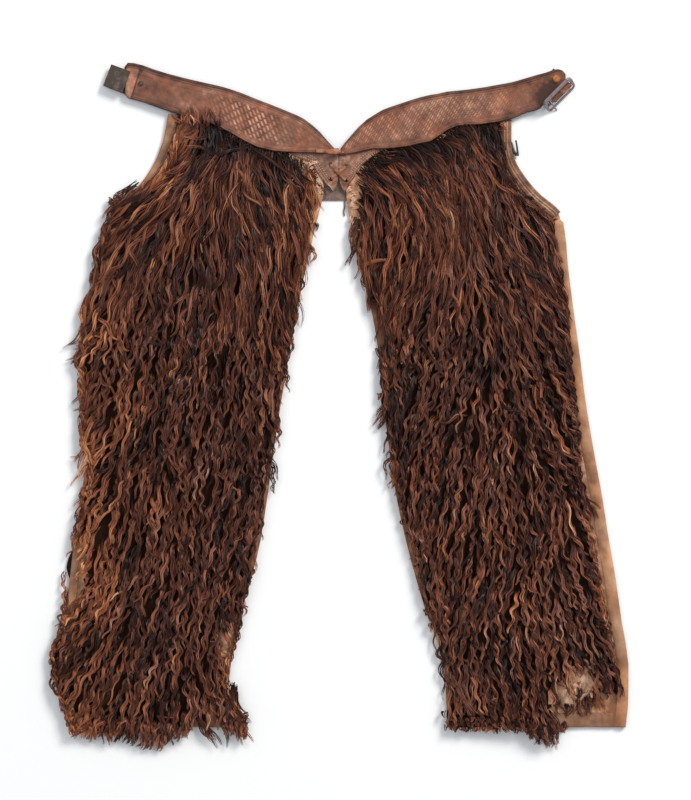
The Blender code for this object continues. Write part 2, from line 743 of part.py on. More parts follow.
BAR_ALONG, BAR_OUTWARD = strap_frame(BUCKLE_ANGLE)[0], -strap_frame(BUCKLE_ANGLE)[1]
BAR_CENTRE = Vector((*BUCKLE_AT, BUCKLE_BAR_Z))
FRAME_DOWN = BAR_OUTWARD * math.cos(BUCKLE_TILT) - Vector((0, 0, 1)) * math.sin(BUCKLE_TILT)
FRAME_FACE = BAR_OUTWARD * math.sin(BUCKLE_TILT) + Vector((0, 0, 1)) * math.cos(BUCKLE_TILT)


def on_frame(along, down, face=0.0):
    return BAR_CENTRE + BAR_ALONG * along + FRAME_DOWN * down + FRAME_FACE * face


def ring_path(long, short, corner, steps):
    """A rounded rectangle, closed, as places along and down the buckle's frame."""
    path = []
    for cx, cy, start in ((1, 1, 0), (-1, 1, 90), (-1, -1, 180), (1, -1, 270)):
        for k in range(steps):
            a = math.radians(start + 90 * k / (steps - 1))
            x = cx * (long / 2 - corner) + corner * math.cos(a)
            y = cy * (short / 2 - corner) + corner * math.sin(a)
            path.append((x, y))
    return path


def make_buckle_frame():
    """The cast frame with its centre bar, in one piece."""
    path = ring_path(BUCKLE_LONG, BUCKLE_SHORT, 5.0, 4)
    count = len(path)
    sections = []
    for i, (x, y) in enumerate(path):
        before, after = path[i - 1], path[(i + 1) % count]
        tangent = Vector((after[0] - before[0], after[1] - before[1])).normalized()
        out = Vector((tangent.y, -tangent.x))
        ring = []
        for k in range(8):
            a = 2 * math.pi * (k + 0.5) / 8
            shift, face = BUCKLE_ROD * 1.1 * math.cos(a), BUCKLE_ROD * math.sin(a)
            ring.append(tuple(on_frame(x + out.x * shift, y + out.y * shift, face)))
        sections.append(ring)
    nickel = finish("nickel", RUSTY_NICKEL, 0.45, 0.8)
    frame = loft("buckle_frame", sections, nickel, closed=True)
    ends = [on_frame(s * BUCKLE_LONG / 2, 0) for s in (-1, 1)]
    bar = tube("centre_bar", ends, BUCKLE_ROD * 0.9, nickel)
    bar.hide_render = True
    bar.display_type = "WIRE"
    joined = frame.modifiers.new("centre bar", "BOOLEAN")
    joined.operation = "UNION"
    joined.solver = "EXACT"
    joined.object = bar
    return frame


def make_tongue():
    """The tongue: a wire with an eye round the centre bar, resting on the frame's lower side."""
    turn = BUCKLE_ROD * 0.9 + GAP + TONGUE_ROD
    path = []
    for d in range(-180, 91, 30):
        a = math.radians(d)
        path.append(on_frame(TONGUE_ALONG, turn * math.cos(a) * -1, turn * math.sin(a)))
    path.reverse()
    rest = BUCKLE_ROD + GAP + TONGUE_ROD
    straight = []
    for down in (TONGUE_LENGTH, 12.0, 6.0):
        face = rest + (turn - rest) * (1 - down / TONGUE_LENGTH)
        straight.append(on_frame(TONGUE_ALONG, down, face))
    nickel = finish("nickel", RUSTY_NICKEL, 0.45, 0.8)
    return tube("buckle_tongue", straight + path, TONGUE_ROD, nickel, 6)


def make_chape():
    """The short strap that holds the buckle: round its centre bar, both ends riveted under the belt."""
    wrap = BUCKLE_ROD * 0.9 + GAP + CHAPE_THICK / 2
    centre = BAR_CENTRE + BAR_ALONG * CHAPE_ALONG
    flat = Vector((centre.x, centre.y, 0))
    up = Vector((0, 0, 1))

    def under_belt(rows):
        return [flat - BAR_OUTWARD * inwards + up * level for inwards, level in rows]

    path = under_belt(reversed(CHAPE_LOWER))
    for d in range(-110, 131, 24):
        a = math.radians(d)
        path.append(centre + BAR_OUTWARD * wrap * math.cos(a) + up * wrap * math.sin(a))
    path += under_belt(CHAPE_UPPER)
    strap("chape", path, BAR_ALONG, CHAPE_WIDTH, CHAPE_THICK, finish("loop leather", DARK_LEATHER, 0.6))
    level = belt_top("right", *CHAPE_RIVET_AT) + GAP + 0.3
    return rivet("chape_rivet", *CHAPE_RIVET_AT, level, CHAPE_RIVET_RADIUS, 2.2)


def make_hook():
    path = through(HOOK_PATH, 3)
    return tube("hip_hook", path, HOOK_ROD, finish("iron", DARK_IRON, 0.5, 0.6))


def main():
    clear_scene()
    for side in ("left", "right"):
        make_back(side)
        make_front(side)
        make_binding(side)
        make_hem_band(side)
        make_coat(side)
        make_belt(side)
        make_tab(side)
    make_lace_cross("lace_under", "left_lower", "right_upper", TRIM_TOP + GAP, 0.0)
    make_lace_cross("lace_over", "left_upper", "right_lower", TRIM_TOP + GAP, 2.4)
    make_top_lace()
    make_gusset()
    make_strap_loop()
    make_buckle_frame()
    make_tongue()
    make_chape()
    make_hook()


main()
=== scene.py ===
"""Woolly leather chaps laid flat on white: two legs of curly goat hide, a stamped belt in two laced halves,
a strap loop at its left end and a buckle at its right end. Sizes are in metres, angles in radians."""

import math

import bpy
import numpy as np
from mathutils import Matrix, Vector


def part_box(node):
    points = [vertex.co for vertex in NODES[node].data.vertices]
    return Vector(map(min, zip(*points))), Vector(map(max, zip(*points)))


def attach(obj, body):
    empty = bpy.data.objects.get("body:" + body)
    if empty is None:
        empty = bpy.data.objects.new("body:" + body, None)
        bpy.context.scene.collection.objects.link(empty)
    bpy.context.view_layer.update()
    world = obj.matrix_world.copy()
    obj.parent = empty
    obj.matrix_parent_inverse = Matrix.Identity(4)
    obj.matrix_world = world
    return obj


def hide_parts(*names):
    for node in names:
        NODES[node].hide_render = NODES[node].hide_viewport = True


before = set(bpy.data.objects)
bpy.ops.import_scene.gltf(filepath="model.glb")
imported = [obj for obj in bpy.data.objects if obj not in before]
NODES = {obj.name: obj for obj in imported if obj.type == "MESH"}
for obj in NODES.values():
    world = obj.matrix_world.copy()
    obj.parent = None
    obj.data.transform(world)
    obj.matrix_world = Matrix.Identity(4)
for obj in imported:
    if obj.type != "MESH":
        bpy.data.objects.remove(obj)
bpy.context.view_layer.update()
MM = 0.001
SIDES = {"left": -1.0, "right": 1.0}  # which way is outwards on each leg


# The camera and the light. The chaps lie on a white table and are seen from straight above through a long
# lens. One large soft lamp stands at the upper right, and the white room fills the shadows.

VIEW_CENTRE = (0.0108, 0.0122)
VIEW_WIDTH = 0.995
CAMERA_HEIGHT = 4.6
LENS = 120.0
BELT_LEVEL = 0.012

scene = bpy.context.scene
scene.view_settings.view_transform = "Standard"
camera = bpy.data.cameras.new("camera")
camera.lens = LENS
camera.sensor_fit = "HORIZONTAL"
camera.sensor_width = LENS * VIEW_WIDTH / CAMERA_HEIGHT
camera_object = bpy.data.objects.new("camera", camera)
camera_object.location = (*VIEW_CENTRE, CAMERA_HEIGHT + BELT_LEVEL)
scene.collection.objects.link(camera_object)
scene.camera = camera_object


def lamp(name, place, size, watts, colour):
    light = bpy.data.lights.new(name, "AREA")
    light.shape = "SQUARE"
    light.size = size
    light.energy = watts
    light.color = colour
    light_object = bpy.data.objects.new(name, light)
    light_object.location = place
    aim = Vector((0.0, 0.0, 0.0)) - Vector(place)
    light_object.rotation_euler = aim.to_track_quat("-Z", "Y").to_euler()
    scene.collection.objects.link(light_object)


lamp("key", (4.8, 5.44, 5.76), 3.04, 896.0, (1.0, 0.97, 0.93))
lamp("fill", (-1.4, 1.0, 2.6), 1.6, 16.0, (0.93, 0.96, 1.0))
world = bpy.data.worlds.new("white room")
world.use_nodes = True
world.node_tree.nodes["Background"].inputs["Color"].default_value = (0.93, 0.96, 1.0, 1.0)
world.node_tree.nodes["Background"].inputs["Strength"].default_value = 0.72
scene.world = world


# The table: one white sheet that the chaps lie on.


def mesh_object(name, points, faces, smooth=True):
    mesh = bpy.data.meshes.new(name)
    mesh.from_pydata([tuple(p) for p in points], [], faces)
    mesh.validate()
    if smooth:
        mesh.shade_smooth()
    made = bpy.data.objects.new(name, mesh)
    scene.collection.objects.link(made)
    return made


def plain(name, colour, roughness):
    material = bpy.data.materials.new(name)
    material.use_nodes = True
    shader = material.node_tree.nodes["Principled BSDF"]
    shader.inputs["Base Color"].default_value = (*colour, 1.0)
    shader.inputs["Roughness"].default_value = roughness
    return material


TABLE_HALF = 6.0
table = mesh_object(
    "table",
    [(x * TABLE_HALF, y * TABLE_HALF, 0.0) for x, y in ((-1, -1), (1, -1), (1, 1), (-1, 1))],
    [(0, 1, 2, 3)],
)
table.data.materials.append(plain("white table", (0.74, 0.74, 0.74), 0.9))


# The leg backs: smooth tan leather, one piece a leg. Its outer margin is turned over to the front, and on
# the right leg this shows as a plain strip, creased across where it was worn.


def smoothstep(low, high, value):
    t = np.clip((np.asarray(value, float) - low) / (high - low), 0.0, 1.0)
    return t * t * (3 - 2 * t)


def span(node, axis, at):
    """How far a node reaches across each place along the axis: the lowest and the highest of the other."""
    mesh = NODES[node].data
    points = np.empty(len(mesh.vertices) * 3)
    mesh.vertices.foreach_get("co", points)
    points = points.reshape(-1, 3)
    ends = np.empty(len(mesh.edges) * 2, int)
    mesh.edges.foreach_get("vertices", ends)
    first, second = points[ends[0::2]], points[ends[1::2]]
    along, across = (0, 1) if axis == "x" else (1, 0)
    low, high = [], []
    for place in at:
        a, b = first[:, along] - place, second[:, along] - place
        cut = (a * b) <= 0
        part = a[cut] / np.where(a[cut] == b[cut], 1.0, a[cut] - b[cut])
        found = first[cut][:, across] + (second[cut] - first[cut])[:, across] * part
        low.append(found.min())
        high.append(found.max())
    return np.array(low), np.array(high)


def loft(name, sections, ring=False):
    """A closed solid through an array of closed sections, of shape sections by points by 3."""
    sections = np.asarray(sections, float)
    rows, count = sections.shape[:2]
    faces = []
    for i in range(rows if ring else rows - 1):
        for j in range(count):
            k, after = (j + 1) % count, (i + 1) % rows
            faces.append((i * count + j, i * count + k, after * count + k, after * count + j))
    if not ring:
        faces.append(tuple(range(count - 1, -1, -1)))
        faces.append(tuple(range((rows - 1) * count, rows * count)))
    made = mesh_object(name, sections.reshape(-1, 3), faces)
    volume = sum(
        p.center.dot(p.normal) * p.area for p in made.data.polygons
    )
    if volume < 0:
        made.data.flip_normals()
    return made


def tag(piece, name, values):
    """A value for each point of a piece, which its material reads."""
    field = piece.data.attributes.new(name, "FLOAT", "POINT")
    field.data.foreach_set("value", np.asarray(values, float).ravel())


def leather(name, dark, middle, light, scale, roughness, relief, tone="", tone_share=0.0, grain=900.0, calm=1.0):
    """Worn leather: mottled between three colours, with a fine grain."""
    material = bpy.data.materials.new(name)
    material.use_nodes = True
    tree = material.node_tree
    add, link = tree.nodes.new, tree.links.new
    shader = tree.nodes["Principled BSDF"]
    shader.inputs["Specular IOR Level"].default_value = 0.3
    where = add("ShaderNodeTexCoord").outputs["Object"]
    broad = add("ShaderNodeTexNoise")
    broad.inputs["Scale"].default_value = scale
    broad.inputs["Detail"].default_value = 6.0
    broad.inputs["Roughness"].default_value = 0.62
    link(where, broad.inputs["Vector"])
    ramp = add("ShaderNodeValToRGB")
    stops = ramp.color_ramp.elements
    stops[0].position, stops[0].color = 0.28, (*dark, 1.0)
    stops[1].position, stops[1].color = 0.72, (*light, 1.0)
    between = stops.new(0.5)
    between.color = (*middle, 1.0)
    softened = add("ShaderNodeMapRange")
    softened.inputs["To Min"].default_value = 0.5 - 0.5 * calm
    softened.inputs["To Max"].default_value = 0.5 + 0.5 * calm
    link(broad.outputs["Fac"], softened.inputs["Value"])
    factor = softened.outputs["Result"]
    if tone:
        read = add("ShaderNodeAttribute")
        read.attribute_name = tone
        mixed = add("ShaderNodeMath")
        mixed.operation = "MULTIPLY_ADD"
        mixed.inputs[1].default_value = tone_share
        link(read.outputs["Fac"], mixed.inputs[0])
        link(factor, mixed.inputs[2])
        factor = mixed.outputs[0]
    link(factor, ramp.inputs["Fac"])
    blotch = add("ShaderNodeTexNoise")
    blotch.inputs["Scale"].default_value = scale * 0.45
    blotch.inputs["Detail"].default_value = 3.0
    link(where, blotch.inputs["Vector"])
    stain = add("ShaderNodeValToRGB")
    ends = stain.color_ramp.elements
    ends[0].position, ends[0].color = 0.36, (0.92, 0.95, 0.97, 1.0)
    ends[1].position, ends[1].color = 0.66, (1.05, 0.88, 0.72, 1.0)
    link(blotch.outputs["Fac"], stain.inputs["Fac"])
    tinted = add("ShaderNodeMix")
    tinted.data_type = "RGBA"
    tinted.blend_type = "MULTIPLY"
    tinted.inputs["Factor"].default_value = 1.0
    link(ramp.outputs["Color"], tinted.inputs["A"])
    link(stain.outputs["Color"], tinted.inputs["B"])
    link(tinted.outputs["Result"], shader.inputs["Base Color"])
    shine = add("ShaderNodeMapRange")
    shine.inputs["To Min"].default_value = roughness - 0.1
    shine.inputs["To Max"].default_value = roughness + 0.12
    link(broad.outputs["Fac"], shine.inputs["Value"])
    link(shine.outputs["Result"], shader.inputs["Roughness"])
    fine = add("ShaderNodeTexVoronoi")
    fine.inputs["Scale"].default_value = grain
    link(where, fine.inputs["Vector"])
    bump = add("ShaderNodeBump")
    bump.inputs["Strength"].default_value = relief
    bump.inputs["Distance"].default_value = 0.0006
    link(fine.outputs["Distance"], bump.inputs["Height"])
    link(bump.outputs["Normal"], shader.inputs["Normal"])
    return material


def area_of(piece):
    """One side of a thin closed piece, in square metres."""
    return sum(p.area for p in piece.data.polygons) / 2


def sewn(piece, replaced, body="garment"):
    """What every leather piece of the garment is to the frame."""
    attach(piece, body)
    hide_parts(*replaced)


TAN = ((0.165, 0.078, 0.042), (0.310, 0.160, 0.088), (0.450, 0.262, 0.155))
FOLD_TOP_Y = 0.270
FOLD_TOP, FOLD_ROUND, BACK_THICK = 0.0074, 0.0036, 0.0020
STRIP_WIDTH = {"left": 0.0130, "right": 0.0170}
STRIP_UNDER = 0.0023
PANEL_PITCH = 0.004
CREASES = 26
STRIP_FADED = {  # place along the leg, half length, how much paler or darker
    "left": (),
    "right": ((-0.090, 0.016, -0.36), (-0.225, 0.045, 0.50), (-0.030, 0.030, 0.20)),
}

back_leather = leather("back leather", *TAN, 34.0, 0.52, 0.35, "wear_and_shade", 0.30)
wave = np.random.default_rng(5)
for side, out in SIDES.items():
    node = f"back_{side}"
    low_corner, high_corner = (c.y for c in map(Vector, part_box(node)))
    ys = np.arange(low_corner + 0.0002, high_corner - 0.0002, PANEL_PITCH)
    reach = span(node, "y", ys)
    inner, outer = (reach[1], reach[0]) if out < 0 else reach
    crease_y = wave.uniform(low_corner, FOLD_TOP_Y, CREASES)
    crease_deep = wave.uniform(0.3, 1.0, CREASES) * 0.0011
    crease_wide = wave.uniform(0.003, 0.009, CREASES)
    crease_slant = wave.uniform(-0.5, 0.5, CREASES)
    sections, wear_and_shade = [], []
    for y, near, far in zip(ys, inner, outer):
        folded = smoothstep(FOLD_TOP_Y + 0.004, FOLD_TOP_Y - 0.002, y)
        top = BACK_THICK + (FOLD_TOP - BACK_THICK) * folded
        middle, rounding = top / 2, BACK_THICK / 2 + (FOLD_ROUND - BACK_THICK / 2) * folded
        rim = far - out * rounding
        strip = rounding + (STRIP_WIDTH[side] - rounding) * folded
        profile = [(near + (rim - near) * t, 0.0) for t in (0.0, 0.2, 0.4, 0.6, 0.8, 1.0)]
        for degrees in (-50, -15, 20, 55, 90):
            a = math.radians(degrees)
            profile.append((rim + out * rounding * math.cos(a), middle + middle * math.sin(a)))
        inner_top = STRIP_UNDER + BACK_THICK if folded > 0.5 else top
        worn = [0.0] * len(profile)
        faded = STRIP_FADED[side]
        tint = 0.10 + sum(more * math.exp(-(((y - at) / reach_y) ** 2)) for at, reach_y, more in faded)
        for t in (0.35, 0.7, 0.93):
            across = rim + (far - out * strip - rim) * t
            dent = 0.0
            for at, deep, wide, slant in zip(crease_y, crease_deep, crease_wide, crease_slant):
                away = (y - at - slant * (across - far)) / wide
                dent += deep * math.exp(-away * away) * math.sin(math.pi * min(t, 0.8))
            level = top + (inner_top - top) * smoothstep(0.55, 1.0, t) - dent * folded
            profile.append((across, float(level)))
            # The strip is painted darker by each crease's depth: painted shade in the creases.
            worn.append(tint - 380.0 * dent)
        seam = far - out * strip
        profile.append((seam, inner_top * 0.97 if folded > 0.5 else top))
        profile.append((seam, STRIP_UNDER if folded > 0.5 else top))
        profile.append((rim, max(BACK_THICK + 0.0001, STRIP_UNDER * folded)))
        profile += [(near + (rim - near) * t, BACK_THICK) for t in (0.8, 0.6, 0.4, 0.2, 0.0)]
        sections.append([(x, y, z) for x, z in profile])
        worn = [0.0 if z < 0.003 else (tint if i < 11 else worn[i]) for i, (_, z) in enumerate(profile[:14])]
        wear_and_shade += worn + [tint if z > 0.003 else 0.0 for _, z in profile[14:]]
    back = loft(f"leg_back_{side}", sections)
    tag(back, "wear_and_shade", wear_and_shade)
    back.data.materials.append(back_leather)
    sewn(back, [node])


# The leg fronts: the goat hide itself, which shows bare only where the hair has worn away by the lacing
# and at the inner edges. It is sewn to the back along both edges.

HIDE = ((0.180, 0.088, 0.050), (0.470, 0.260, 0.155), (0.760, 0.520, 0.360))
FRONT_LOW, FRONT_HIGH = 0.0023, 0.0048
OUTER_STAIN = {"left": -0.14, "right": -0.20}  # the hide is dark with hair stubs along its edges
INNER_STAIN = -0.26

hide = leather("goat hide", *HIDE, 55.0, 0.72, 0.6, "wear_and_shade", 1.0, grain=500.0)
for side, out in SIDES.items():
    node = f"front_{side}"
    low_corner, high_corner = (c.y for c in map(Vector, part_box(node)))
    ys = np.arange(low_corner + 0.0002, high_corner - 0.0002, PANEL_PITCH)
    reach = span(node, "y", ys)
    near, far = (reach[1], reach[0]) if out < 0 else reach
    sections, wear_and_shade = [], []
    for y, a, b in zip(ys, near, far):
        outer_stain = OUTER_STAIN[side] * float(smoothstep(-0.395, -0.375, y))
        inner_stain = INNER_STAIN * float(smoothstep(0.22, 0.18, y) * (abs(y + 0.326) > 0.02))
        rim_stain = outer_stain - 0.42 * float(smoothstep(-0.385, -0.410, y))
        wear_and_shade += [inner_stain, rim_stain, rim_stain, outer_stain / 2, 0.0, 0.0, 0.0, inner_stain, inner_stain]
        ripple = 0.0005 * math.sin(y * 140) + 0.0004 * math.sin(y * 61 + out)
        over = [
            (a + (b - a) * t, y, FRONT_HIGH + (ripple * (1 - t) ** 4 if t < 0.9 else -0.0003))
            for t in (1.0, 0.9, 0.6, 0.3, 0.1, 0.03)
        ]
        sections.append([(a, y, FRONT_LOW), (b, y, FRONT_LOW), *over, (a, y, FRONT_HIGH - 0.0008)])
    front = loft(f"leg_front_{side}", sections)
    tag(front, "wear_and_shade", wear_and_shade)
    front.data.materials.append(hide)
    sewn(front, [node])


# The coat: long curly hair of a goat, growing from the whole hide and lying down the leg in overlapping
# locks. Each lock is several wavy strands wound round each other, over a dark matted under-coat whose near
# black is also painted shade of the deep coat. Longer and smoother locks fall from under the belt, and a
# few tufts stray over its edge and past the sides.

COAT_STEP = 0.003
UNDER_ACROSS = 29
DOME_EDGE, DOME_HIGH, DOME_RUN = 0.0075, 0.0135, 0.030
BARE_COLUMNS = ("across", "along", "radius")
BARE = {
    "left": (
        (-0.050, 0.348, 0.011), (-0.024, 0.322, 0.010), (-0.034, 0.283, 0.006),
        (-0.160, -0.326, 0.012), (-0.380, -0.255, 0.013), (-0.382, -0.228, 0.012), (-0.380, -0.208, 0.010),
        (-0.197, -0.452, 0.014), (-0.183, -0.450, 0.015), (-0.172, -0.450, 0.012),
    ),
    "right": (
        (0.030, 0.334, 0.007), (0.019, 0.318, 0.009), (0.017, 0.296, 0.009), (0.026, 0.270, 0.008),
        (0.029, 0.252, 0.007), (0.052, 0.135, 0.009), (0.060, 0.115, 0.008), (0.356, -0.391, 0.012),
        (0.343, -0.393, 0.010), (0.322, -0.409, 0.010), (0.328, -0.422, 0.010), (0.318, -0.441, 0.014),
        (0.340, -0.440, 0.016), (0.362, -0.440, 0.017), (0.385, -0.440, 0.018), (0.405, -0.438, 0.019),
    ),
}
INSET_COLUMNS = ("along", "outer side", "inner side")
INSET = {  # how far inside the coat's own edge its hair mostly ends
    "left": (
        (-0.45, 0.017, 0.003), (-0.36, 0.012, 0.005), (-0.26, 0.009, 0.000), (-0.10, 0.014, -0.003),
        (-0.03, 0.015, -0.001), (0.08, 0.013, 0.003), (0.15, 0.012, 0.008), (0.20, 0.013, 0.006),
        (0.29, 0.017, 0.003), (0.33, 0.011, 0.002), (0.37, 0.010, 0.001),
    ),
    "right": (
        (-0.45, 0.005, 0.008), (-0.38, 0.010, 0.004), (-0.30, 0.012, -0.003), (-0.10, 0.011, -0.003),
        (0.00, 0.007, -0.006), (0.08, 0.006, -0.001), (0.14, 0.004, 0.004), (0.22, 0.005, 0.009),
        (0.27, 0.006, 0.005), (0.33, 0.009, 0.003), (0.40, 0.011, 0.001),
    ),
}
HEM_COLUMNS = ("across", "shortening")
HEM_SHORTER = {
    "left": ((-0.385, 0.012), (-0.35, 0.004), (-0.26, 0.004), (-0.21, 0.010), (-0.17, 0.022), (-0.13, 0.010)),
    "right": ((0.13, 0.020), (0.20, 0.027), (0.26, 0.023), (0.29, 0.014), (0.31, 0.018)),
}
LOCKS = 1440
STRANDS_A_LOCK = 5
POINTS = 23
ZONES = ("upper", "middle", "lower")
TILT = {"left": math.radians(10.0), "right": math.radians(9.0)}
FAN = {"left": math.radians(22.0), "right": math.radians(10.0)}
CROWN_SPAN = {"left": (-0.236, -0.030), "right": (0.024, 0.238)}
CROWN_PITCH = 0.0042
LEATHER_HEM = -0.460
HEM_ROWS = (0.004, 0.010, 0.018)
CROWN_ROWS = (0.0, 0.006, 0.014, 0.023)
TUFT_COLUMNS = ("across", "along", "half_wide", "half_high", "degrees", "fan", "length", "locks", "tone", "level")
TUFTS = {
    "left": (
        (-0.200, 0.403, 0.026, 0.003, 170, 40, 0.032, 20, 0.10, 0.0135),
        (-0.228, 0.388, 0.008, 0.022, 4, 8, 0.080, 15, 0.16, 0.0090),
        (-0.286, 0.318, 0.012, 0.010, 48, 8, 0.058, 11, -0.06, 0.0100),
        (-0.335, 0.118, 0.010, 0.016, 46, 8, 0.072, 10, -0.02, 0.0090),
        (-0.345, 0.010, 0.008, 0.040, 34, 10, 0.055, 12, 0.00, 0.0090),
        (-0.352, -0.080, 0.008, 0.040, 30, 10, 0.050, 10, 0.06, 0.0090),
        (-0.368, -0.310, 0.010, 0.040, 40, 10, 0.066, 14, 0.00, 0.0090),
        (-0.204, -0.436, 0.004, 0.004, -34, 8, 0.058, 8, -0.06, 0.0100),
        (-0.160, -0.410, 0.012, 0.016, -18, 10, 0.070, 26, -0.02, 0.0100),
        (-0.163, -0.290, 0.006, 0.030, -18, 12, 0.040, 7, 0.02, 0.0090),
        (-0.110, 0.000, 0.006, 0.080, -22, 12, 0.050, 10, 0.02, 0.0090),
        (-0.148, -0.190, 0.006, 0.050, -24, 12, 0.050, 9, 0.02, 0.0090),
        (-0.046, 0.346, 0.012, 0.012, 0, 90, 0.011, 10, 0.80, 0.0052),
        (-0.027, 0.322, 0.008, 0.012, 0, 90, 0.010, 7, 0.80, 0.0052),
    ),
    "right": (
        (0.219, 0.385, 0.006, 0.022, 0, 6, 0.080, 12, 0.10, 0.0085),
        (0.030, 0.262, 0.006, 0.030, -8, 14, 0.050, 9, 0.06, 0.0090),
        (0.020, 0.305, 0.006, 0.022, 0, 90, 0.010, 7, 0.80, 0.0052),
        (0.026, 0.260, 0.006, 0.016, 0, 60, 0.010, 7, 0.80, 0.0052),
        (0.345, -0.402, 0.022, 0.010, 0, 60, 0.014, 9, 0.70, 0.0052),
        (0.362, -0.412, 0.022, 0.006, 12, 30, 0.026, 9, 0.06, 0.0062),
        (0.076, 0.090, 0.006, 0.030, -20, 14, 0.036, 8, 0.04, 0.0090),
        (0.077, 0.012, 0.004, 0.016, -25, 8, 0.050, 9, 0.04, 0.0090),
        (0.157, -0.280, 0.005, 0.030, -26, 12, 0.038, 8, 0.04, 0.0090),
        (0.354, -0.126, 0.003, 0.008, 42, 8, 0.036, 5, -0.04, 0.0095),
        (0.298, -0.440, 0.008, 0.008, 10, 14, 0.048, 12, 0.00, 0.0090),
        (0.340, -0.424, 0.034, 0.004, 8, 26, 0.024, 9, 0.02, 0.0062),
    ),
}


def coat_outline(side):
    """The coat's edges at even places along the leg, and its lowest hair at even places across it."""
    node = f"hair_{side}"
    low, high = (Vector(c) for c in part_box(node))
    ys = np.arange(low.y + 0.001, high.y - 0.001, COAT_STEP)
    left, right = span(node, "y", ys)
    xs = np.arange(low.x + 0.001, high.x - 0.001, COAT_STEP)
    bottom, top = span(node, "x", xs)
    return {"ys": ys, "left": left, "right": right, "xs": xs, "bottom": bottom, "top": top}


def reach_in(outline, x, y):
    """How far each place lies inside the coat's outline."""
    left = np.interp(y, outline["ys"], outline["left"])
    right = np.interp(y, outline["ys"], outline["right"])
    bottom = np.interp(x, outline["xs"], outline["bottom"])
    top = np.interp(x, outline["xs"], outline["top"])
    sides = np.minimum(x - left, right - x)
    return np.minimum(sides, np.minimum(y - bottom, (top - y) * 1.6))


def coat_level(outline, x, y):
    """The level of the coat's body: thin at the edges, full in the middle."""
    inside = np.maximum(reach_in(outline, x, y), 0.0)
    return DOME_EDGE + DOME_HIGH * (1 - np.exp(-inside / DOME_RUN))


def ripple(x, y, seed):
    """A slow, uneven swing between about -1 and 1."""
    shift = np.random.default_rng(seed).uniform(0, 2 * math.pi, 6)
    return (
        np.sin(23 * x + 9 * y + shift[0])
        + np.sin(-17 * x + 21 * y + shift[1])
        + np.sin(41 * x - 33 * y + shift[2])
        + 0.7 * np.sin(67 * x + 52 * y + shift[3])
        + 0.7 * np.sin(-85 * x + 74 * y + shift[4])
    ) / 3.2


def flow(side, outline, x, y):
    """Which way the hair lies at each place, as an angle outwards from straight down the leg."""
    out = SIDES[side]
    left = np.interp(y, outline["ys"], outline["left"])
    right = np.interp(y, outline["ys"], outline["right"])
    share = np.clip((x - left) / np.maximum(right - left, 0.01), 0, 1)
    share = share if out > 0 else 1 - share
    high = smoothstep(0.16, 0.33, y)
    low_angle = TILT[side] + FAN[side] * (share - 0.35) + math.radians(16.0) * smoothstep(0.80, 1.0, share)
    if side == "left":
        top_angle = math.radians(-6.0) + math.radians(62.0) * smoothstep(0.15, 1.0, share)
    else:
        swept = smoothstep(0.75, 0.15, share) * smoothstep(0.20, 0.36, y)
        top_angle = math.radians(4.0) + math.radians(48.0) * swept
        top_angle = top_angle + math.radians(28.0) * smoothstep(0.75, 1.0, share)
        inner = smoothstep(0.80, 0.22, share) * (0.25 + 0.75 * smoothstep(0.02, 0.16, share))
        inner = inner * (0.45 + 0.55 * smoothstep(-0.36, -0.22, y))
        low_angle = low_angle - math.radians(25.0) * inner
    angle = low_angle + (top_angle - low_angle) * high
    return angle + math.radians(13.0) * ripple(x, y, 3 if out > 0 else 4)


def hair_material(name):
    """Brown goat hair: each strand's tone runs from near black through red-brown to fawn, some of it greyed,
    with fine single hairs along it."""
    material = bpy.data.materials.new(name)
    material.use_nodes = True
    tree = material.node_tree
    add, link = tree.nodes.new, tree.links.new
    shader = tree.nodes["Principled BSDF"]

    def read(attribute, output):
        found = add("ShaderNodeAttribute")
        found.attribute_name = attribute
        return found.outputs[output]

    lines = add("ShaderNodeTexNoise")
    lines.inputs["Scale"].default_value = 1.0
    lines.inputs["Detail"].default_value = 2.0
    link(read("streak", "Vector"), lines.inputs["Vector"])
    shift = add("ShaderNodeMath")
    shift.operation = "MULTIPLY_ADD"
    shift.inputs[1].default_value = 0.55
    shift.inputs[2].default_value = -0.275
    link(lines.outputs["Fac"], shift.inputs[0])
    toned = add("ShaderNodeMath")
    toned.operation = "ADD"
    link(read("tone", "Fac"), toned.inputs[0])
    link(shift.outputs[0], toned.inputs[1])

    ramps = []
    for colours in (
        ((0.0, (0.006, 0.002, 0.001)), (0.22, (0.022, 0.006, 0.003)), (0.48, (0.112, 0.031, 0.014)),
         (0.72, (0.262, 0.082, 0.036)), (0.88, (0.400, 0.145, 0.054)), (1.0, (0.570, 0.260, 0.110))),
        ((0.0, (0.005, 0.002, 0.002)), (0.22, (0.016, 0.006, 0.005)), (0.48, (0.074, 0.027, 0.019)),
         (0.72, (0.185, 0.079, 0.057)), (0.88, (0.300, 0.140, 0.098)), (1.0, (0.640, 0.430, 0.310))),
    ):
        ramp = add("ShaderNodeValToRGB")
        stops = ramp.color_ramp.elements
        (stops[0].position, first), (stops[1].position, last) = colours[0], colours[-1]
        stops[0].color, stops[1].color = (*first, 1.0), (*last, 1.0)
        for position, colour in colours[1:-1]:
            stops.new(position).color = (*colour, 1.0)
        link(toned.outputs[0], ramp.inputs["Fac"])
        ramps.append(ramp)
    mixed = add("ShaderNodeMix")
    mixed.data_type = "RGBA"
    link(read("grey", "Fac"), mixed.inputs["Factor"])
    link(ramps[0].outputs["Color"], mixed.inputs["A"])
    link(ramps[1].outputs["Color"], mixed.inputs["B"])
    link(mixed.outputs["Result"], shader.inputs["Base Color"])
    bump = add("ShaderNodeBump")
    bump.inputs["Strength"].default_value = 0.6
    bump.inputs["Distance"].default_value = 0.0005
    link(lines.outputs["Fac"], bump.inputs["Height"])
    link(bump.outputs["Normal"], shader.inputs["Normal"])
    shader.inputs["Roughness"].default_value = 0.40
    shader.inputs["Specular IOR Level"].default_value = 0.16
    return material


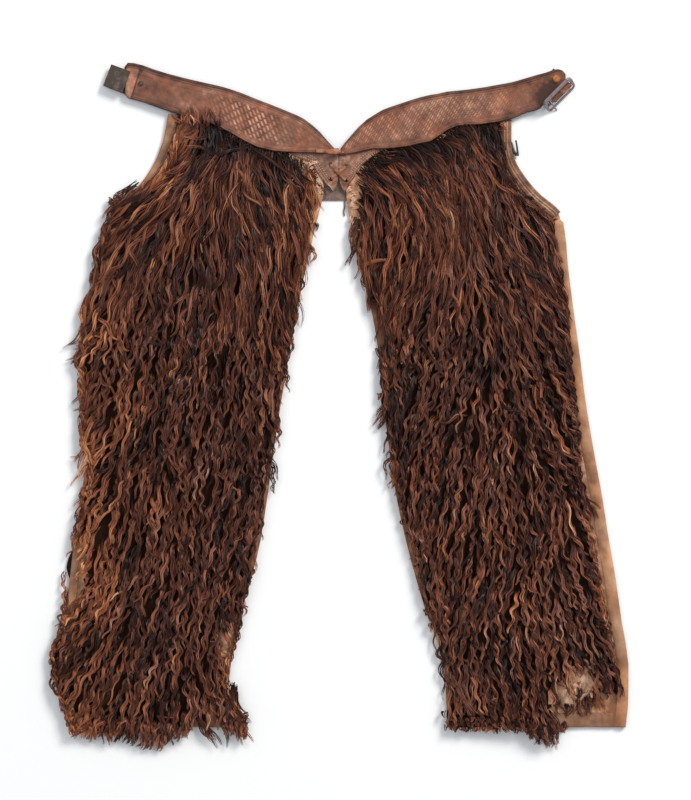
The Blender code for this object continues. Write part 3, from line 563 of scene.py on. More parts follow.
def atlas_map(piece, strips, rows):
    """A map with a cell for each strand, so that the strands' colours can be stored on a picture."""
    across = math.ceil(math.sqrt(strips * 2.5))
    down = math.ceil(strips / across)
    index = np.arange(strips)
    left, low = (index % across) / across, (index // across) / down
    along = np.linspace(0.04, 0.96, rows) / down
    u = left[:, None, None] + np.array([0.1, 0.9])[None, None, :] / across
    v = low[:, None, None] + along[None, :, None]
    points = np.stack([np.broadcast_to(u, (strips, rows, 2)), np.broadcast_to(v, (strips, rows, 2))], axis=-1)
    points = points.reshape(-1, 2)
    corner = np.empty(len(piece.data.loops), int)
    piece.data.loops.foreach_get("vertex_index", corner)
    layer = piece.data.uv_layers.new(name="OFBake")
    layer.data.foreach_set("uv", points[corner].ravel())


def ribbons(name, left_edge, right_edge, tone, grey):
    """Many narrow tapered strips in one mesh, from arrays of shape strips by rows by 3."""
    strips, rows = left_edge.shape[:2]
    points = np.stack([left_edge, right_edge], axis=2).reshape(-1, 3)
    start = (np.arange(strips) * rows * 2)[:, None]
    step = (np.arange(rows - 1) * 2)[None, :]
    first = (start + step).reshape(-1)
    faces = np.stack([first, first + 1, first + 3, first + 2], axis=1)
    mesh = bpy.data.meshes.new(name)
    mesh.vertices.add(len(points))
    mesh.vertices.foreach_set("co", points.ravel())
    mesh.loops.add(faces.size)
    mesh.loops.foreach_set("vertex_index", faces.ravel())
    mesh.polygons.add(len(faces))
    mesh.polygons.foreach_set("loop_start", np.arange(len(faces)) * 4)
    mesh.polygons.foreach_set("loop_total", np.full(len(faces), 4))
    mesh.update(calc_edges=True)
    mesh.shade_smooth()
    made = bpy.data.objects.new(name, mesh)
    scene.collection.objects.link(made)
    tag(made, "tone", np.repeat(tone[:, :, None], 2, axis=2))
    tag(made, "grey", np.repeat(np.repeat(grey[:, None, None], rows, axis=1), 2, axis=2))
    wide = np.linalg.norm(right_edge - left_edge, axis=2) / 0.0005
    travel = np.concatenate(
        [np.zeros((strips, 1)), np.cumsum(np.linalg.norm(np.diff(left_edge, axis=1), axis=2), axis=1)], axis=1
    )
    own = np.arange(strips)[:, None] * 7.3
    streak = np.empty((strips, rows, 2, 3))
    streak[..., 0, 0], streak[..., 1, 0] = -wide / 2, wide / 2
    streak[..., 1] = (travel * 45.0)[..., None]
    streak[..., 2] = own[..., None]
    field = mesh.attributes.new("streak", "FLOAT_VECTOR", "POINT")
    field.data.foreach_set("vector", streak.ravel())
    atlas_map(made, strips, rows)
    made.data.materials.append(hair)
    return made


def bare_share(side, x, y, beyond=0.0):
    """How bare the hide is at each place, from 0 to 1."""
    bare = np.zeros_like(x)
    for across, along, radius in BARE[side]:
        away = np.hypot(x - across, y - along) * (1 + 0.25 * np.sin(5 * np.arctan2(y - along, x - across)))
        bare = np.maximum(bare, smoothstep(radius + beyond, radius * 0.6 + beyond, away))
    return bare


def crown(side, x):
    """Where the coat comes out from under the belt and the tab, at each place across the leg."""
    edges = [span(f"belt_{side}", "x", x)[0] + 0.007, span(f"front_{side}", "x", x)[1] - 0.001]
    low, high = (Vector(c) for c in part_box(f"tab_{side}"))
    under_tab = (x > low.x) & (x < high.x)
    tab_low = np.full_like(x, np.inf)
    if under_tab.any():
        tab_low[under_tab] = span(f"tab_{side}", "x", x[under_tab])[0] + (0.007 if side == "right" else 0.004)
    return np.minimum(np.minimum(*edges), tab_low)


def scattered(side, outline, crown_at, seeds):
    """Roots spread over the hide in rows, each moved a little from its place, up to the tab and the belt."""
    low = (outline["xs"][0], outline["ys"][0])
    high = (outline["xs"][-1], outline["ys"][-1])
    ground = float(np.sum(outline["right"] - outline["left"]) * COAT_STEP)
    pitch = math.sqrt(ground / LOCKS)
    x, y = (g.ravel() for g in np.meshgrid(np.arange(low[0], high[0], pitch), np.arange(low[1], high[1], pitch)))
    x = x + seeds.uniform(-0.5, 0.5, len(x)) * pitch
    y = y + seeds.uniform(-0.5, 0.5, len(x)) * pitch
    front = span(f"front_{side}", "y", np.clip(y, outline["ys"][0] + 0.04, outline["ys"][-1]))
    on_front = (y > 0.24) & (x > front[0] + 0.004) & (x < front[1] - 0.016) & (y < np.interp(x, *crown_at) - 0.003)
    if side == "left":
        on_front = (y > 0.24) & (x > front[0] + 0.016) & (x < front[1] - 0.004) & (y < np.interp(x, *crown_at) - 0.003)
    kept = ((reach_in(outline, x, y) > 0.003) | on_front) & (bare_share(side, x, y) < 0.5)
    kept &= y > LEATHER_HEM + 0.003
    return x[kept], y[kept]


def grow(side, outline, x, y, length, stray, fixed, seeds):
    """The lines that locks follow from their roots down the leg, kept near the coat's outline. A fixed angle
    takes the place of the coat's own flow."""
    count = len(x)
    places = np.empty((count, POINTS, 2))
    px, py = x.copy(), y.copy()
    step = length / (POINTS - 1)
    ragged = seeds.random(count) ** 2
    bend = math.radians(30.0) * seeds.normal(size=count)
    along, *insets = zip(*INSET[side])
    for k in range(POINTS):
        places[:, k, 0], places[:, k, 1] = px, py
        angle = flow(side, outline, px, py) if fixed is None else fixed + bend * (k / POINTS - 0.5)
        angle = angle + stray
        px = px + SIDES[side] * np.sin(angle) * step
        py = py - np.cos(angle) * step
        if fixed is None:
            inset_outer, inset_inner = (np.interp(py, along, column) for column in insets)
            reach = 0.008 * ragged
            past_outer = reach * (0.6 if side == "right" else smoothstep(0.34, 0.30, py)) - inset_outer
            past_inner = reach - inset_inner
            past_left, past_right = (past_outer, past_inner) if side == "left" else (past_inner, past_outer)
            beside = np.maximum(py, LEATHER_HEM + 0.004)
            left = np.interp(beside, outline["ys"], outline["left"]) - past_left
            right = np.interp(beside, outline["ys"], outline["right"]) + past_right
            px = np.where(px < left, px + (left - px) * 0.4, px)
            px = np.where(px > right, px - (px - right) * 0.4, px)
    return places


def make_locks(outline, line, length, smooth, level, lock_tone, lock_grey, seeds):
    """The strands of locks that follow the given lines: their middles, widths, tones, rolls and greyness."""
    count = len(length)
    s = np.linspace(0, 1, POINTS)[None, :]
    travel = length[:, None] * s

    def between(curly, straight):
        return (seeds.uniform(*curly, count) * (1 - smooth) + seeds.uniform(*straight, count) * smooth)[:, None]

    curl_length = between((0.018, 0.036), (0.040, 0.080))
    curl_wide = between((0.0010, 0.0032), (0.0010, 0.0030)) * (curl_length / 0.030) ** 0.5
    start = seeds.uniform(0, 2 * math.pi, (count, 1))
    uneven = seeds.uniform(0.2, 0.9, (count, 1)) * np.sin(travel / curl_length * 2.3 + 2 * start)
    turn = 2 * math.pi * travel / curl_length + start + uneven
    grown = 0.25 + 0.75 * smoothstep(0.0, 0.40, s)
    forward = np.gradient(line, axis=1)
    forward /= np.maximum(np.linalg.norm(forward, axis=2, keepdims=True), 1e-9)
    sideways = np.stack([-forward[..., 1], forward[..., 0]], axis=2)
    centre = line + sideways * (curl_wide * grown * np.sin(turn))[..., None]
    height = level(centre[..., 0], centre[..., 1], s) + 0.8 * curl_wide * grown * np.cos(turn)
    made = []
    for child in range(STRANDS_A_LOCK):
        spread = between((0.0014, 0.0036), (0.0016, 0.0046)) * (1 - 0.62 * s)
        twist = 2 * math.pi * (child / STRANDS_A_LOCK + seeds.uniform(-0.12, 0.12, (count, 1)))
        twist = twist + turn * 0.45
        aside, up = spread * np.cos(twist), 0.55 * spread * np.sin(twist)
        middles = np.concatenate([centre + sideways * aside[..., None], (height + up)[..., None]], axis=2)
        # Strands are painted darker towards their roots, painted shade deep in the coat, and paler towards their tips.
        deep = -0.25 * (1 - smoothstep(0.0, 0.45, s)) + 0.12 * smoothstep(0.35, 1.0, s)
        own = seeds.normal(0, 0.075, (count, 1))
        # Strands riding higher in the lock and on the crests of its curl are painted lighter, those low in its troughs
        # darker: painted light and shade on the curls.
        tones = lock_tone[:, None] + own + deep + 40.0 * up + 22.0 * curl_wide * grown * np.cos(turn)
        thick = between((0.0014, 0.0028), (0.0012, 0.0024))
        taper = np.minimum(1.0, 0.5 + 2.2 * s) * (0.08 + 0.92 * (1 - s) ** 0.6)
        rolls = seeds.uniform(-0.5, 0.5, (count, 1)) + 0.5 * np.sin(twist)
        grey = np.clip(lock_grey + seeds.normal(0, 0.12, count), 0, 1)
        made.append((middles, thick * taper, tones, rolls, grey))
    return tuple(np.concatenate(rows) for rows in zip(*made))


def strand_edges(middles, widths, rolls):
    """Each strand's two edges, turned a little out of level."""
    forward = np.gradient(middles, axis=1)
    flat = np.linalg.norm(forward[..., :2], axis=2, keepdims=True)
    sideways = np.stack([-forward[..., 1], forward[..., 0]], axis=2) / np.maximum(flat, 1e-9)
    across = np.concatenate([sideways * np.cos(rolls)[..., None], np.sin(rolls)[..., None]], axis=2)
    half = across * (widths / 2)[..., None]
    return middles - half, middles + half


def regional_tone(side, x, y):
    """Where the coat is darker, redder or fawn: near black at the hip, fawn by the left hip strip."""
    tone = 0.350 + 0.0 * x
    if side == "left":
        tone += 0.30 * np.exp(-(((x + 0.222) / 0.028) ** 2) - ((y - 0.392) / 0.035) ** 2)
        tone += 0.20 * np.exp(-(((x + 0.262) / 0.020) ** 2) - ((y - 0.335) / 0.045) ** 2)
        tone -= 0.14 * np.exp(-(((x + 0.170) / 0.040) ** 2) - ((y - 0.375) / 0.022) ** 2)
        tone += 0.05 * smoothstep(-0.27, -0.35, x) + 0.045 * smoothstep(-0.28, -0.42, y)
        tone -= 0.06 * smoothstep(0.20, 0.27, y) * smoothstep(-0.23, -0.19, x)
        tone += 0.20 * smoothstep(-0.318, -0.350, x + 0.10 * (y + 0.03)) * smoothstep(-0.02, -0.06, y) * smoothstep(-0.33, -0.28, y)
    else:
        tone += 0.035 * smoothstep(-0.05, -0.20, y) - 0.02 * smoothstep(0.15, 0.32, y)
        tone -= 0.16 * np.exp(-(((x - 0.150) / 0.070) ** 2) - ((y - 0.375) / 0.018) ** 2)
        tone += 0.10 * np.exp(-(((x - 0.250) / 0.025) ** 2) - ((y - 0.350) / 0.050) ** 2)
        tone += 0.12 * np.exp(-(((x - 0.360) / 0.030) ** 2) - ((y + 0.400) / 0.040) ** 2)
    return tone


def grey_share(side, x, y, seeds):
    """How greyed each lock is. The hair is reddest at the crotch and down the outer left side."""
    grey = 0.36 + 0.22 * ripple(x * 1.4, y * 1.4, 11) + seeds.normal(0, 0.2, len(x))
    if side == "left":
        grey -= 0.40 * smoothstep(-0.26, -0.34, x) + 0.35 * smoothstep(-0.12, -0.06, x) * smoothstep(0.1, 0.2, y)
        grey -= 0.60 * smoothstep(-0.19, -0.22, x) * smoothstep(0.26, 0.32, y)
        grey -= 0.50 * smoothstep(-0.30, -0.34, x) * smoothstep(0.0, -0.06, y)
    else:
        grey -= 0.40 * smoothstep(0.16, 0.09, x) * smoothstep(0.1, 0.2, y)
    return np.clip(grey, 0.0, 1.0)


hair = hair_material("goat hair")
# The under-coat's near black is its own dark colour and also painted shade deep among the locks.
dark_shaded_under_coat = plain("under-coat", (0.020, 0.010, 0.0065), 0.95)
dark_shaded_under_coat.node_tree.nodes["Principled BSDF"].inputs["Specular IOR Level"].default_value = 0.0
for side, out in SIDES.items():
    outline = coat_outline(side)
    seeds = np.random.default_rng(21 if out < 0 else 22)
    ys = np.arange(LEATHER_HEM + 0.004, outline["ys"][-1] - 0.002, 0.006)
    left = np.interp(ys, outline["ys"], outline["left"]) + 0.009
    right = np.interp(ys, outline["ys"], outline["right"]) - 0.009
    right = np.maximum(right, left + 0.004)
    sections = []
    for y, a, b in zip(ys, left, right):
        xs = np.linspace(a, b, UNDER_ACROSS)
        place = np.full_like(xs, y)
        thin = 0.30 + 0.32 * smoothstep(0.0, 0.06, reach_in(outline, xs, place))
        thin = thin * (1 - bare_share(side, xs, place))
        top = coat_level(outline, xs, place) * thin + 0.0008 * ripple(xs * 9, place * 5, 2)
        worn = bare_share(side, xs, place, 0.012) > 0.1
        top = np.where(worn, 0.0040, np.maximum(top, 0.0052))
        base = np.where(worn, 0.0038, 0.0051)
        upper = np.stack([xs, place, top], axis=1)
        lower = np.stack([xs, place, base], axis=1)[::-1]
        sections.append(np.concatenate([upper, lower]))
    under = loft(f"under_coat_{side}", sections)
    under.data.materials.append(dark_shaded_under_coat)
    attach(under, "garment")
    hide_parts(f"hair_{side}")

    first_x = np.arange(*CROWN_SPAN[side], CROWN_PITCH)
    line_y = crown(side, first_x)
    x, y = scattered(side, outline, (first_x, line_y), seeds)
    for drop in CROWN_ROWS:
        moved = first_x + seeds.uniform(-0.5, 0.5, len(first_x)) * CROWN_PITCH
        along = np.interp(moved, first_x, line_y) - drop - seeds.uniform(0, 0.005, len(first_x))
        kept = bare_share(side, moved, along) < 0.5
        x, y = np.append(x, moved[kept]), np.append(y, along[kept])
    hem_left = np.interp(LEATHER_HEM + 0.01, outline["ys"], outline["left"]) + 0.004
    hem_right = np.interp(LEATHER_HEM + 0.01, outline["ys"], outline["right"]) - 0.004
    for above in HEM_ROWS:
        moved = np.arange(hem_left, hem_right, CROWN_PITCH) + above / 3
        along = LEATHER_HEM + above + seeds.uniform(-0.003, 0.003, len(moved))
        hangs = np.interp(moved, outline["xs"], outline["bottom"]) < LEATHER_HEM - 0.002
        hangs &= bare_share(side, moved, along) < 0.5
        x, y = np.append(x, moved[hangs]), np.append(y, along[hangs])
    smooth = smoothstep(0.10, 0.30, y + 0.03 * ripple(x, y, 6))
    length = seeds.uniform(0.045, 0.090, len(x)) * (1 - smooth) + seeds.uniform(0.090, 0.165, len(x)) * smooth
    shorter = np.interp(x, *zip(*HEM_SHORTER[side]))
    room = y - np.interp(x, outline["xs"], outline["bottom"]) - shorter + seeds.uniform(-0.010, 0.008, len(x))
    length = np.clip(length, 0.010, np.maximum(room, 0.010))
    stray = math.radians(9.0) * seeds.normal(size=len(x))
    stray += math.radians(30.0) * seeds.normal(size=len(x)) * (seeds.random(len(x)) < 0.07)
    line = grow(side, outline, x, y, length, stray, None, seeds)
    on_bare = bare_share(side, line[..., 0], line[..., 1]) > 0.55
    clear = np.where(on_bare.any(axis=1), on_bare.argmax(axis=1), POINTS - 1) / (POINTS - 1)
    clear = np.where(seeds.random(len(x)) < 0.07, 1.0, clear)
    kept = (clear == 1.0) | (length * clear > 0.022)
    x, y, smooth, stray = x[kept], y[kept], smooth[kept], stray[kept]
    length = (length * clear)[kept]
    line = grow(side, outline, x, y, length, stray, None, seeds)
    crown_y = np.interp(x, first_x, line_y)
    by_crown = smoothstep(0.045, 0.0, crown_y - y) * smoothstep(0.20, 0.26, y)
    layer = seeds.uniform(0.0, 0.0090, len(x))

    def level(at_x, at_y, s):
        body = coat_level(outline, at_x, at_y)
        body = np.maximum(body, 0.0075 + 0.0080 * by_crown[:, None] * smoothstep(0.0, 0.012, crown_y[:, None] - at_y))
        begin = 0.45 - 0.10 * by_crown[:, None]
        risen = smoothstep(0.0, 0.30 - 0.20 * by_crown[:, None], s)
        return body * (begin + (1 - begin) * risen) + layer[:, None] * smoothstep(0.03, 0.4, s) * np.clip(body / 0.018, 0.4, 1.0)

    tone = np.clip(seeds.normal(0.0, 0.16, len(x)), -0.36, 0.28) + 0.11 * (ripple(x, y, 8) + ripple(2.3 * x, 2.3 * y, 9))
    tone = tone + 0.12 * bare_share(side, x, y, 0.012)
    coat = make_locks(outline, line, length, smooth, level, tone, grey_share(side, x, y, seeds), seeds)
    spots = coat[0]
    under_belt = spots[..., 1] > np.interp(spots[..., 0], first_x, line_y) - 0.005
    spots[..., 2] = np.where(under_belt, np.minimum(spots[..., 2], 0.0098), spots[..., 2])
    parts = [coat]

    for across, along, half_wide, half_high, degrees, fan, reach, locks, tuft_tone, tuft_level in TUFTS[side]:
        x = across + half_wide * seeds.uniform(-1, 1, locks)
        y = along + half_high * seeds.uniform(-1, 1, locks)
        length = reach * seeds.uniform(0.7, 1.1, locks)
        fixed = np.radians(degrees + fan * seeds.uniform(-1, 1, locks))
        line = grow(side, outline, x, y, length, 0.0, fixed, seeds)
        lift = seeds.uniform(0.0, 0.005, locks)[:, None]

        def level(at_x, at_y, s):
            return tuft_level + 0.0004 + lift * smoothstep(0.0, 0.3, s) * smoothstep(1.1, 0.4, s)

        tone = tuft_tone + seeds.normal(0.0, 0.10, locks)
        grey = np.full(locks, 0.25 if tuft_tone < 0.5 else 0.80)  # the stubs on bare places are pale
        parts.append(make_locks(outline, line, length, np.full(locks, 0.8), level, tone, grey, seeds))

    middles, widths, tones, rolls, grey = (np.concatenate(rows) for rows in zip(*parts))
    tones = np.clip(tones + regional_tone(side, middles[..., 0], middles[..., 1]), 0.0, 1.0)
    over_band = smoothstep(LEATHER_HEM + 0.030, LEATHER_HEM + 0.024, middles[..., 1])
    over_band = over_band * smoothstep(LEATHER_HEM - 0.006, LEATHER_HEM - 0.001, middles[..., 1])
    middles[..., 2] = np.maximum(middles[..., 2], 0.0056 + 0.0018 * over_band)
    edges = strand_edges(middles, widths, rolls)
    order = np.argsort(-middles[:, 0, 1])
    for zone, chosen in zip(ZONES, np.array_split(order, len(ZONES))):
        locks = ribbons(f"locks_{side}_{zone}", edges[0][chosen], edges[1][chosen], tones[chosen], grey[chosen])
        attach(locks, "garment")
        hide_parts(f"hair_{side}")


# The hip bindings: a strip of leather folded over the edge from the belt to the hip point, stitched through.
# The left one is plain tan. The right one is darker, with two raised pale lines.


def edge_strip(name, line, inward, profile, level):
    """A strip along an edge. The profile's columns are the place inwards from the edge and the thickness."""
    line = [Vector(p) for p in line]
    sections = []
    for i, point in enumerate(line):
        along = (line[min(i + 1, len(line) - 1)] - line[max(i - 1, 0)]).normalized()
        side = Vector((-along.y, along.x)) * inward
        wobble = 0.0004 * math.sin(i * 1.7) + 0.0003 * math.sin(i * 0.61 + 2)
        under = [(*(point + side * w), level) for w in (profile[-1][0], profile[0][0])]
        over = [(*(point + side * w), level + t + wobble * (0.2 < k / len(profile) < 0.9)) for k, (w, t) in enumerate(profile)]
        sections.append(under + over)
    return loft(name, sections)


def stitches(name, lines, length, pitch, thick, material):
    """Short threads laid along lines of points, each a small faceted spindle."""
    points, faces = [], []
    for line in lines:
        line = np.asarray(line, float)
        steps = np.linalg.norm(np.diff(line, axis=0), axis=1)
        at = np.concatenate([[0.0], np.cumsum(steps)])
        for start in np.arange(pitch / 2, at[-1] - length, pitch):
            a = np.array([np.interp(start, at, line[:, k]) for k in range(3)])
            b = np.array([np.interp(start + length, at, line[:, k]) for k in range(3)])
            along = (b - a) / max(np.linalg.norm(b - a), 1e-9)
            side = np.array([-along[1], along[0], 0.0]) * thick / 2
            up = np.array([0.0, 0.0, thick * 0.55])
            middle, first = (a + b) / 2, len(points)
            points += [a, middle + side, middle + up, middle - side, b]
            for j, k in ((1, 2), (2, 3), (3, 1)):
                faces += [(first, first + j, first + k), (first + 4, first + k, first + j)]
    made = mesh_object(name, points, faces)
    made.data.materials.append(material)
    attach(made, "garment")
    return made


def hip_edge(side, low, high):
    """The outer edge of a leg's leather between two places along it."""
    ys = np.arange(low, high, 0.003)
    reach = span(f"back_{side}", "y", ys)
    return [(x, y) for x, y in zip(reach[1] if side == "right" else reach[0], ys)]


def inset(line, inward, by, level):
    """A line of points that runs beside another, inwards by a distance, at a level."""
    line = [Vector(p) for p in line]
    moved = []
    for i, point in enumerate(line):
        along = (line[min(i + 1, len(line) - 1)] - line[max(i - 1, 0)]).normalized()
        moved.append((*(point + Vector((-along.y, along.x)) * inward * by), level))
    return moved


TRIM_LEVEL = 0.0051
BINDING = {
    "left": ((0.0003, 0.0010), (0.0012, 0.0017), (0.0030, 0.0020), (0.0100, 0.0018), (0.0122, 0.0012), (0.0135, 0.0016), (0.0150, 0.0009)),
    "right": (
        (0.0003, 0.0010), (0.0012, 0.0018), (0.0030, 0.0019), (0.0050, 0.0014), (0.0062, 0.0020), (0.0074, 0.0014),
        (0.0088, 0.0013), (0.0100, 0.0020), (0.0112, 0.0013), (0.0140, 0.0015), (0.0150, 0.0008),
    ),
}
BINDING_SPAN = {"left": (0.3075, 0.4265), "right": (0.2835, 0.4165)}
BINDING_SEAMS = {"left": (0.0112,), "right": (0.0081,)}
PIPING_AT = (0.0062, 0.0100)
POINT_FROM, POINT_OUT = 0.312, 0.0048  # the right one ends in a point that stands out

thread = plain("old thread", (0.260, 0.170, 0.110), 0.8)
binding_leather = leather(
    "binding leather", (0.070, 0.032, 0.018), (0.190, 0.088, 0.050), (0.440, 0.270, 0.175), 70.0, 0.50, 0.6, "wear_and_shade", 1.0
)
for side, out in SIDES.items():
    line = hip_edge(side, *BINDING_SPAN[side])
    if side == "right":
        line = [(x + POINT_OUT * float(smoothstep(POINT_FROM, BINDING_SPAN[side][0], y)), y) for x, y in line]
    strip = edge_strip(f"binding_{side}", line, out, BINDING[side], TRIM_LEVEL)
    strip.data.materials.append(binding_leather if side == "right" else back_leather)
    if side == "left":
        tag(strip, "wear_and_shade", np.full(len(strip.data.vertices), -0.1))
    else:
        piping = [0.0, 0.0, *(0.20 if w in PIPING_AT else -0.06 for w, _ in BINDING[side])]
        tag(strip, "wear_and_shade", np.tile(piping, len(line)))
    sewn(strip, [f"hip_binding_{side}"])
    seams = [inset(line, out, by, TRIM_LEVEL + 0.0017) for by in BINDING_SEAMS[side]]
    stitches(f"binding_thread_{side}", seams, 0.0034, 0.0046, 0.0009, thread)


# The hem bands: a strip of plain leather sewn across the bottom of each front with two rows of thread.

HEM_PROFILE = ((0.0, 0.0006), (0.0008, 0.0013), (0.0030, 0.0016), (0.0165, 0.0015), (0.0190, 0.0011), (0.0205, 0.0007))
HEM_SEAMS = (0.0028, 0.0178)

for side, out in SIDES.items():
    low, high = (Vector(c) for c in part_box(f"hem_band_{side}"))
    xs = np.arange(low.x + 0.0008, high.x - 0.0008, 0.003)
    bottom = low.y + 0.0002
    line = [(x, bottom + 0.0004 * math.sin(x * 90)) for x in xs]
    band = edge_strip(f"hem_{side}", line, 1.0, HEM_PROFILE, TRIM_LEVEL)
    band.data.materials.append(back_leather)
    tag(band, "wear_and_shade", np.full(len(band.data.vertices), -0.55))
    sewn(band, [f"hem_band_{side}"])
    seams = [inset(line, 1.0, by, TRIM_LEVEL + 0.0013) for by in HEM_SEAMS]
    stitches(f"hem_thread_{side}", seams, 0.0030, 0.0044, 0.0008, thread)


# The gusset: thin greyed leather between the two backs, behind the tabs, with the end of its lace.


def dress(names, material):
    """Gives a solid that is already the right shape its real surface."""
    for name in names:
        for place in NODES[name].material_slots:
            place.link = "OBJECT"
            place.material = material


grey_leather = leather(
    "grey leather", (0.060, 0.042, 0.033), (0.132, 0.092, 0.073), (0.230, 0.170, 0.140), 80.0, 0.75, 0.8
)
dress(["gusset", "lace_end"], grey_leather)
GUSSET_CUT = (0.0475, 0.046)
cut = min(area_of(NODES["gusset"]), GUSSET_CUT[0] * GUSSET_CUT[1])


# The belt: two halves of thick red-brown leather, shaped like wings, that meet at the front. Each has two
# incised lines along its upper edge, fine rows along its lower edge and a stamped field of slanting dashes.

BELT_LEVEL_LOW = 0.0074
BELT_PITCH = {"left": 0.00120, "right": 0.00105}
EDGE_ROWS = (0.0, 0.0004, 0.0012, 0.0020, 0.0028, 0.0036, 0.0044, 0.0052, 0.0062, 0.0070, 0.0078, 0.0086, 0.0096, 0.0106, 0.0116)
FIELD_ROWS = 38
BELT_EDGE, BELT_FULL = 0.0027, 0.0039
TOP_LINES = ((0.0040, 0.0008), (0.0074, 0.0006))  # place from the edge, depth
LOW_LINES = ((0.0034, 0.0006), (0.0056, 0.0005), (0.0078, 0.0005), (0.0100, 0.0004))
LINE_HALF = 0.0006
PRICKED = (-0.2838, 0.4853)  # a small hole beside the end's rivet
FIELD_RIM = {"left": 0.0150, "right": 0.0102}
STAMP_COLUMNS = ("pitch_across", "pitch_along", "slant", "half_wide", "half_long", "raise")
STAMP = {
    "left": (0.0066, 0.0084, 0.42, 0.0016, 0.0032, 0.0008),
    "right": (0.0043, 0.0062, -0.60, 0.0012, 0.0024, 0.0006),
}


def groove(distance, lines):
    cut = 0.0
    for place, deep in lines:
        cut = cut + deep * np.exp(-(((distance - place) / LINE_HALF) ** 2))
    return cut


def stamped(side, x, y):
    """The stamped dashes at each place, from 0 between them to 1 on one that was struck hard."""
    across, along, slant, half_wide, half_long, _ = STAMP[side]
    a = (x + slant * y) / across
    column = np.floor(a)
    b = (y - 0.15 * slant * x) / along + 0.5 * np.mod(column, 2)
    aside = np.abs(a - column - 0.5) * across
    ahead = np.abs(b - np.floor(b) - 0.5) * along
    struck = 0.74 + 0.26 * np.sin(12.9 * column + 7.3 * np.floor(b) + 2.0 * np.sin(3.7 * column))
    return struck * smoothstep(half_wide + 0.0006, half_wide - 0.0006, aside) * smoothstep(
        half_long + 0.0006, half_long - 0.0008, ahead
    )


def belt_stamp_wear_and_highlight(side, x):
    """How bold the stamping still is along the belt, and how pale its high spots are, from wear and from a painted
    highlight.
    """
    if side == "left":
        bold = 0.16 + 0.84 * smoothstep(-0.195, -0.150, x) * (1.0 - 0.80 * smoothstep(-0.105, -0.045, x))
        pale = np.exp(-(((x + 0.122) / 0.034) ** 2))
    else:
        bold = 0.85 - 0.45 * smoothstep(0.20, 0.26, x)
        pale = 0.45 * np.exp(-(((x - 0.150) / 0.060) ** 2)) + 0.25 * np.exp(-(((x - 0.030) / 0.035) ** 2))
    return bold, pale


belt_leather = leather(
    "belt leather", (0.038, 0.015, 0.009), (0.205, 0.084, 0.050), (0.560, 0.310, 0.205), 60.0, 0.42, 0.30, "wear_and_shade", 1.0,
    calm=0.55,
)
for side, out in SIDES.items():
    node = f"belt_{side}"
    low, high = (Vector(c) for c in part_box(node))
    xs = np.arange(low.x + 0.0002, high.x - 0.0002, BELT_PITCH[side])
    bottoms, tops = span(node, "x", xs)
    *_, raised = STAMP[side]
    sections, wear_and_shade = [], []
    for x, bottom, top in zip(xs, bottoms, tops):
        width = top - bottom
        squeeze = min(1.0, width / 0.034)
        edge = np.array(EDGE_ROWS) * squeeze
        inner = np.linspace(bottom + edge[-1], top - edge[-1], FIELD_ROWS + 2)[1:-1]
        y = np.concatenate([bottom + edge, inner, (top - edge)[::-1]])
        from_low, from_top = (y - bottom) / squeeze, (top - y) / squeeze
        ends = min(x - xs[0], xs[-1] - x) / 0.0016
        near = np.minimum(np.minimum(from_low, from_top), max(ends, 0.0) * 0.0016)
        rounded = BELT_EDGE + (BELT_FULL - BELT_EDGE) * np.sqrt(np.clip(near / 0.0014, 0.0, 1.0))
        cut = groove(from_top, TOP_LINES) + groove(from_low, LOW_LINES)
        bold, pale = belt_stamp_wear_and_highlight(side, x)
        rim = FIELD_RIM[side]
        field = smoothstep(0.0104, 0.0116, from_low) * smoothstep(rim - 0.0012, rim, from_top)
        mark = stamped(side, np.full_like(y, x), y - 0.5 * (bottom + top)) * field * bold
        level = BELT_LEVEL_LOW + rounded - cut * min(1.0, squeeze + 0.2) + raised * (mark - 0.5 * field)
        level = np.minimum(level, BELT_LEVEL_LOW + 0.0044)
        # The raised dashes are painted lighter and the sunk field between them darker, more so where the high spots are
        # worn: painted highlight and shade on the stamping, with wear.
        tone = 0.17 * (mark - 0.40 * field * bold) * (0.75 + 1.0 * pale) + 0.03 * pale - 0.02
        # The incised lines are painted darker by their depth, painted shade, and a band just inside each is painted
        # lighter, a painted highlight on its edge.
        groove_edge_highlight = groove(from_top + 0.0012, TOP_LINES) + groove(from_low + 0.0010, LOW_LINES)
        tone = tone - 230.0 * np.minimum(cut, 0.0006) + 90.0 * groove_edge_highlight - 0.20 * np.exp(-near / 0.0016)
        tone = tone - 0.07 * smoothstep(0.0075, 0.0055, from_top) - 0.05 * smoothstep(0.0040, 0.0025, from_low)
        if side == "right":
            # A dark patch beside the buckle: a painted shadow of the buckle over a dark stain.
            away = np.hypot(x - 0.303, y - 0.452)
            tone = tone - 0.34 * np.exp(-((away / 0.017) ** 2))
            tone = tone + 0.01 - 0.05 * smoothstep(0.215, 0.270, x)
        else:
            down_belt = x - 0.305 * (y - 0.480)
            tone = tone + 0.13 * smoothstep(-0.2875, -0.2895, down_belt) * smoothstep(0.004, 0.009, from_top)
            tone = tone - 0.22 * np.exp(-(((down_belt + 0.2875) / 0.0008) ** 2))
            tone = tone - 0.05 * smoothstep(-0.17, -0.25, x)
            hole = np.exp(-((np.hypot(x - PRICKED[0], y - PRICKED[1]) / 0.0014) ** 2))
            tone = tone - 0.5 * hole
            level = level - 0.0012 * hole
        over = np.stack([np.full_like(y, x), y, level], axis=1)
        under = [(x, top, BELT_LEVEL_LOW), (x, bottom, BELT_LEVEL_LOW)]
        sections.append(np.concatenate([over, under]))
        wear_and_shade.append(np.concatenate([tone, [-0.2, -0.2]]))
    belt = loft(f"stamped_belt_{side}", sections)
    tag(belt, "wear_and_shade", np.array(wear_and_shade))
    belt.data.materials.append(belt_leather)
    sewn(belt, [node])


# The tabs below the belt: a point of the same leather under each half, with tooled lines along the curved
# edge, two lace holes each, and a flat thong crossed through them. A second thong ties the belt halves.

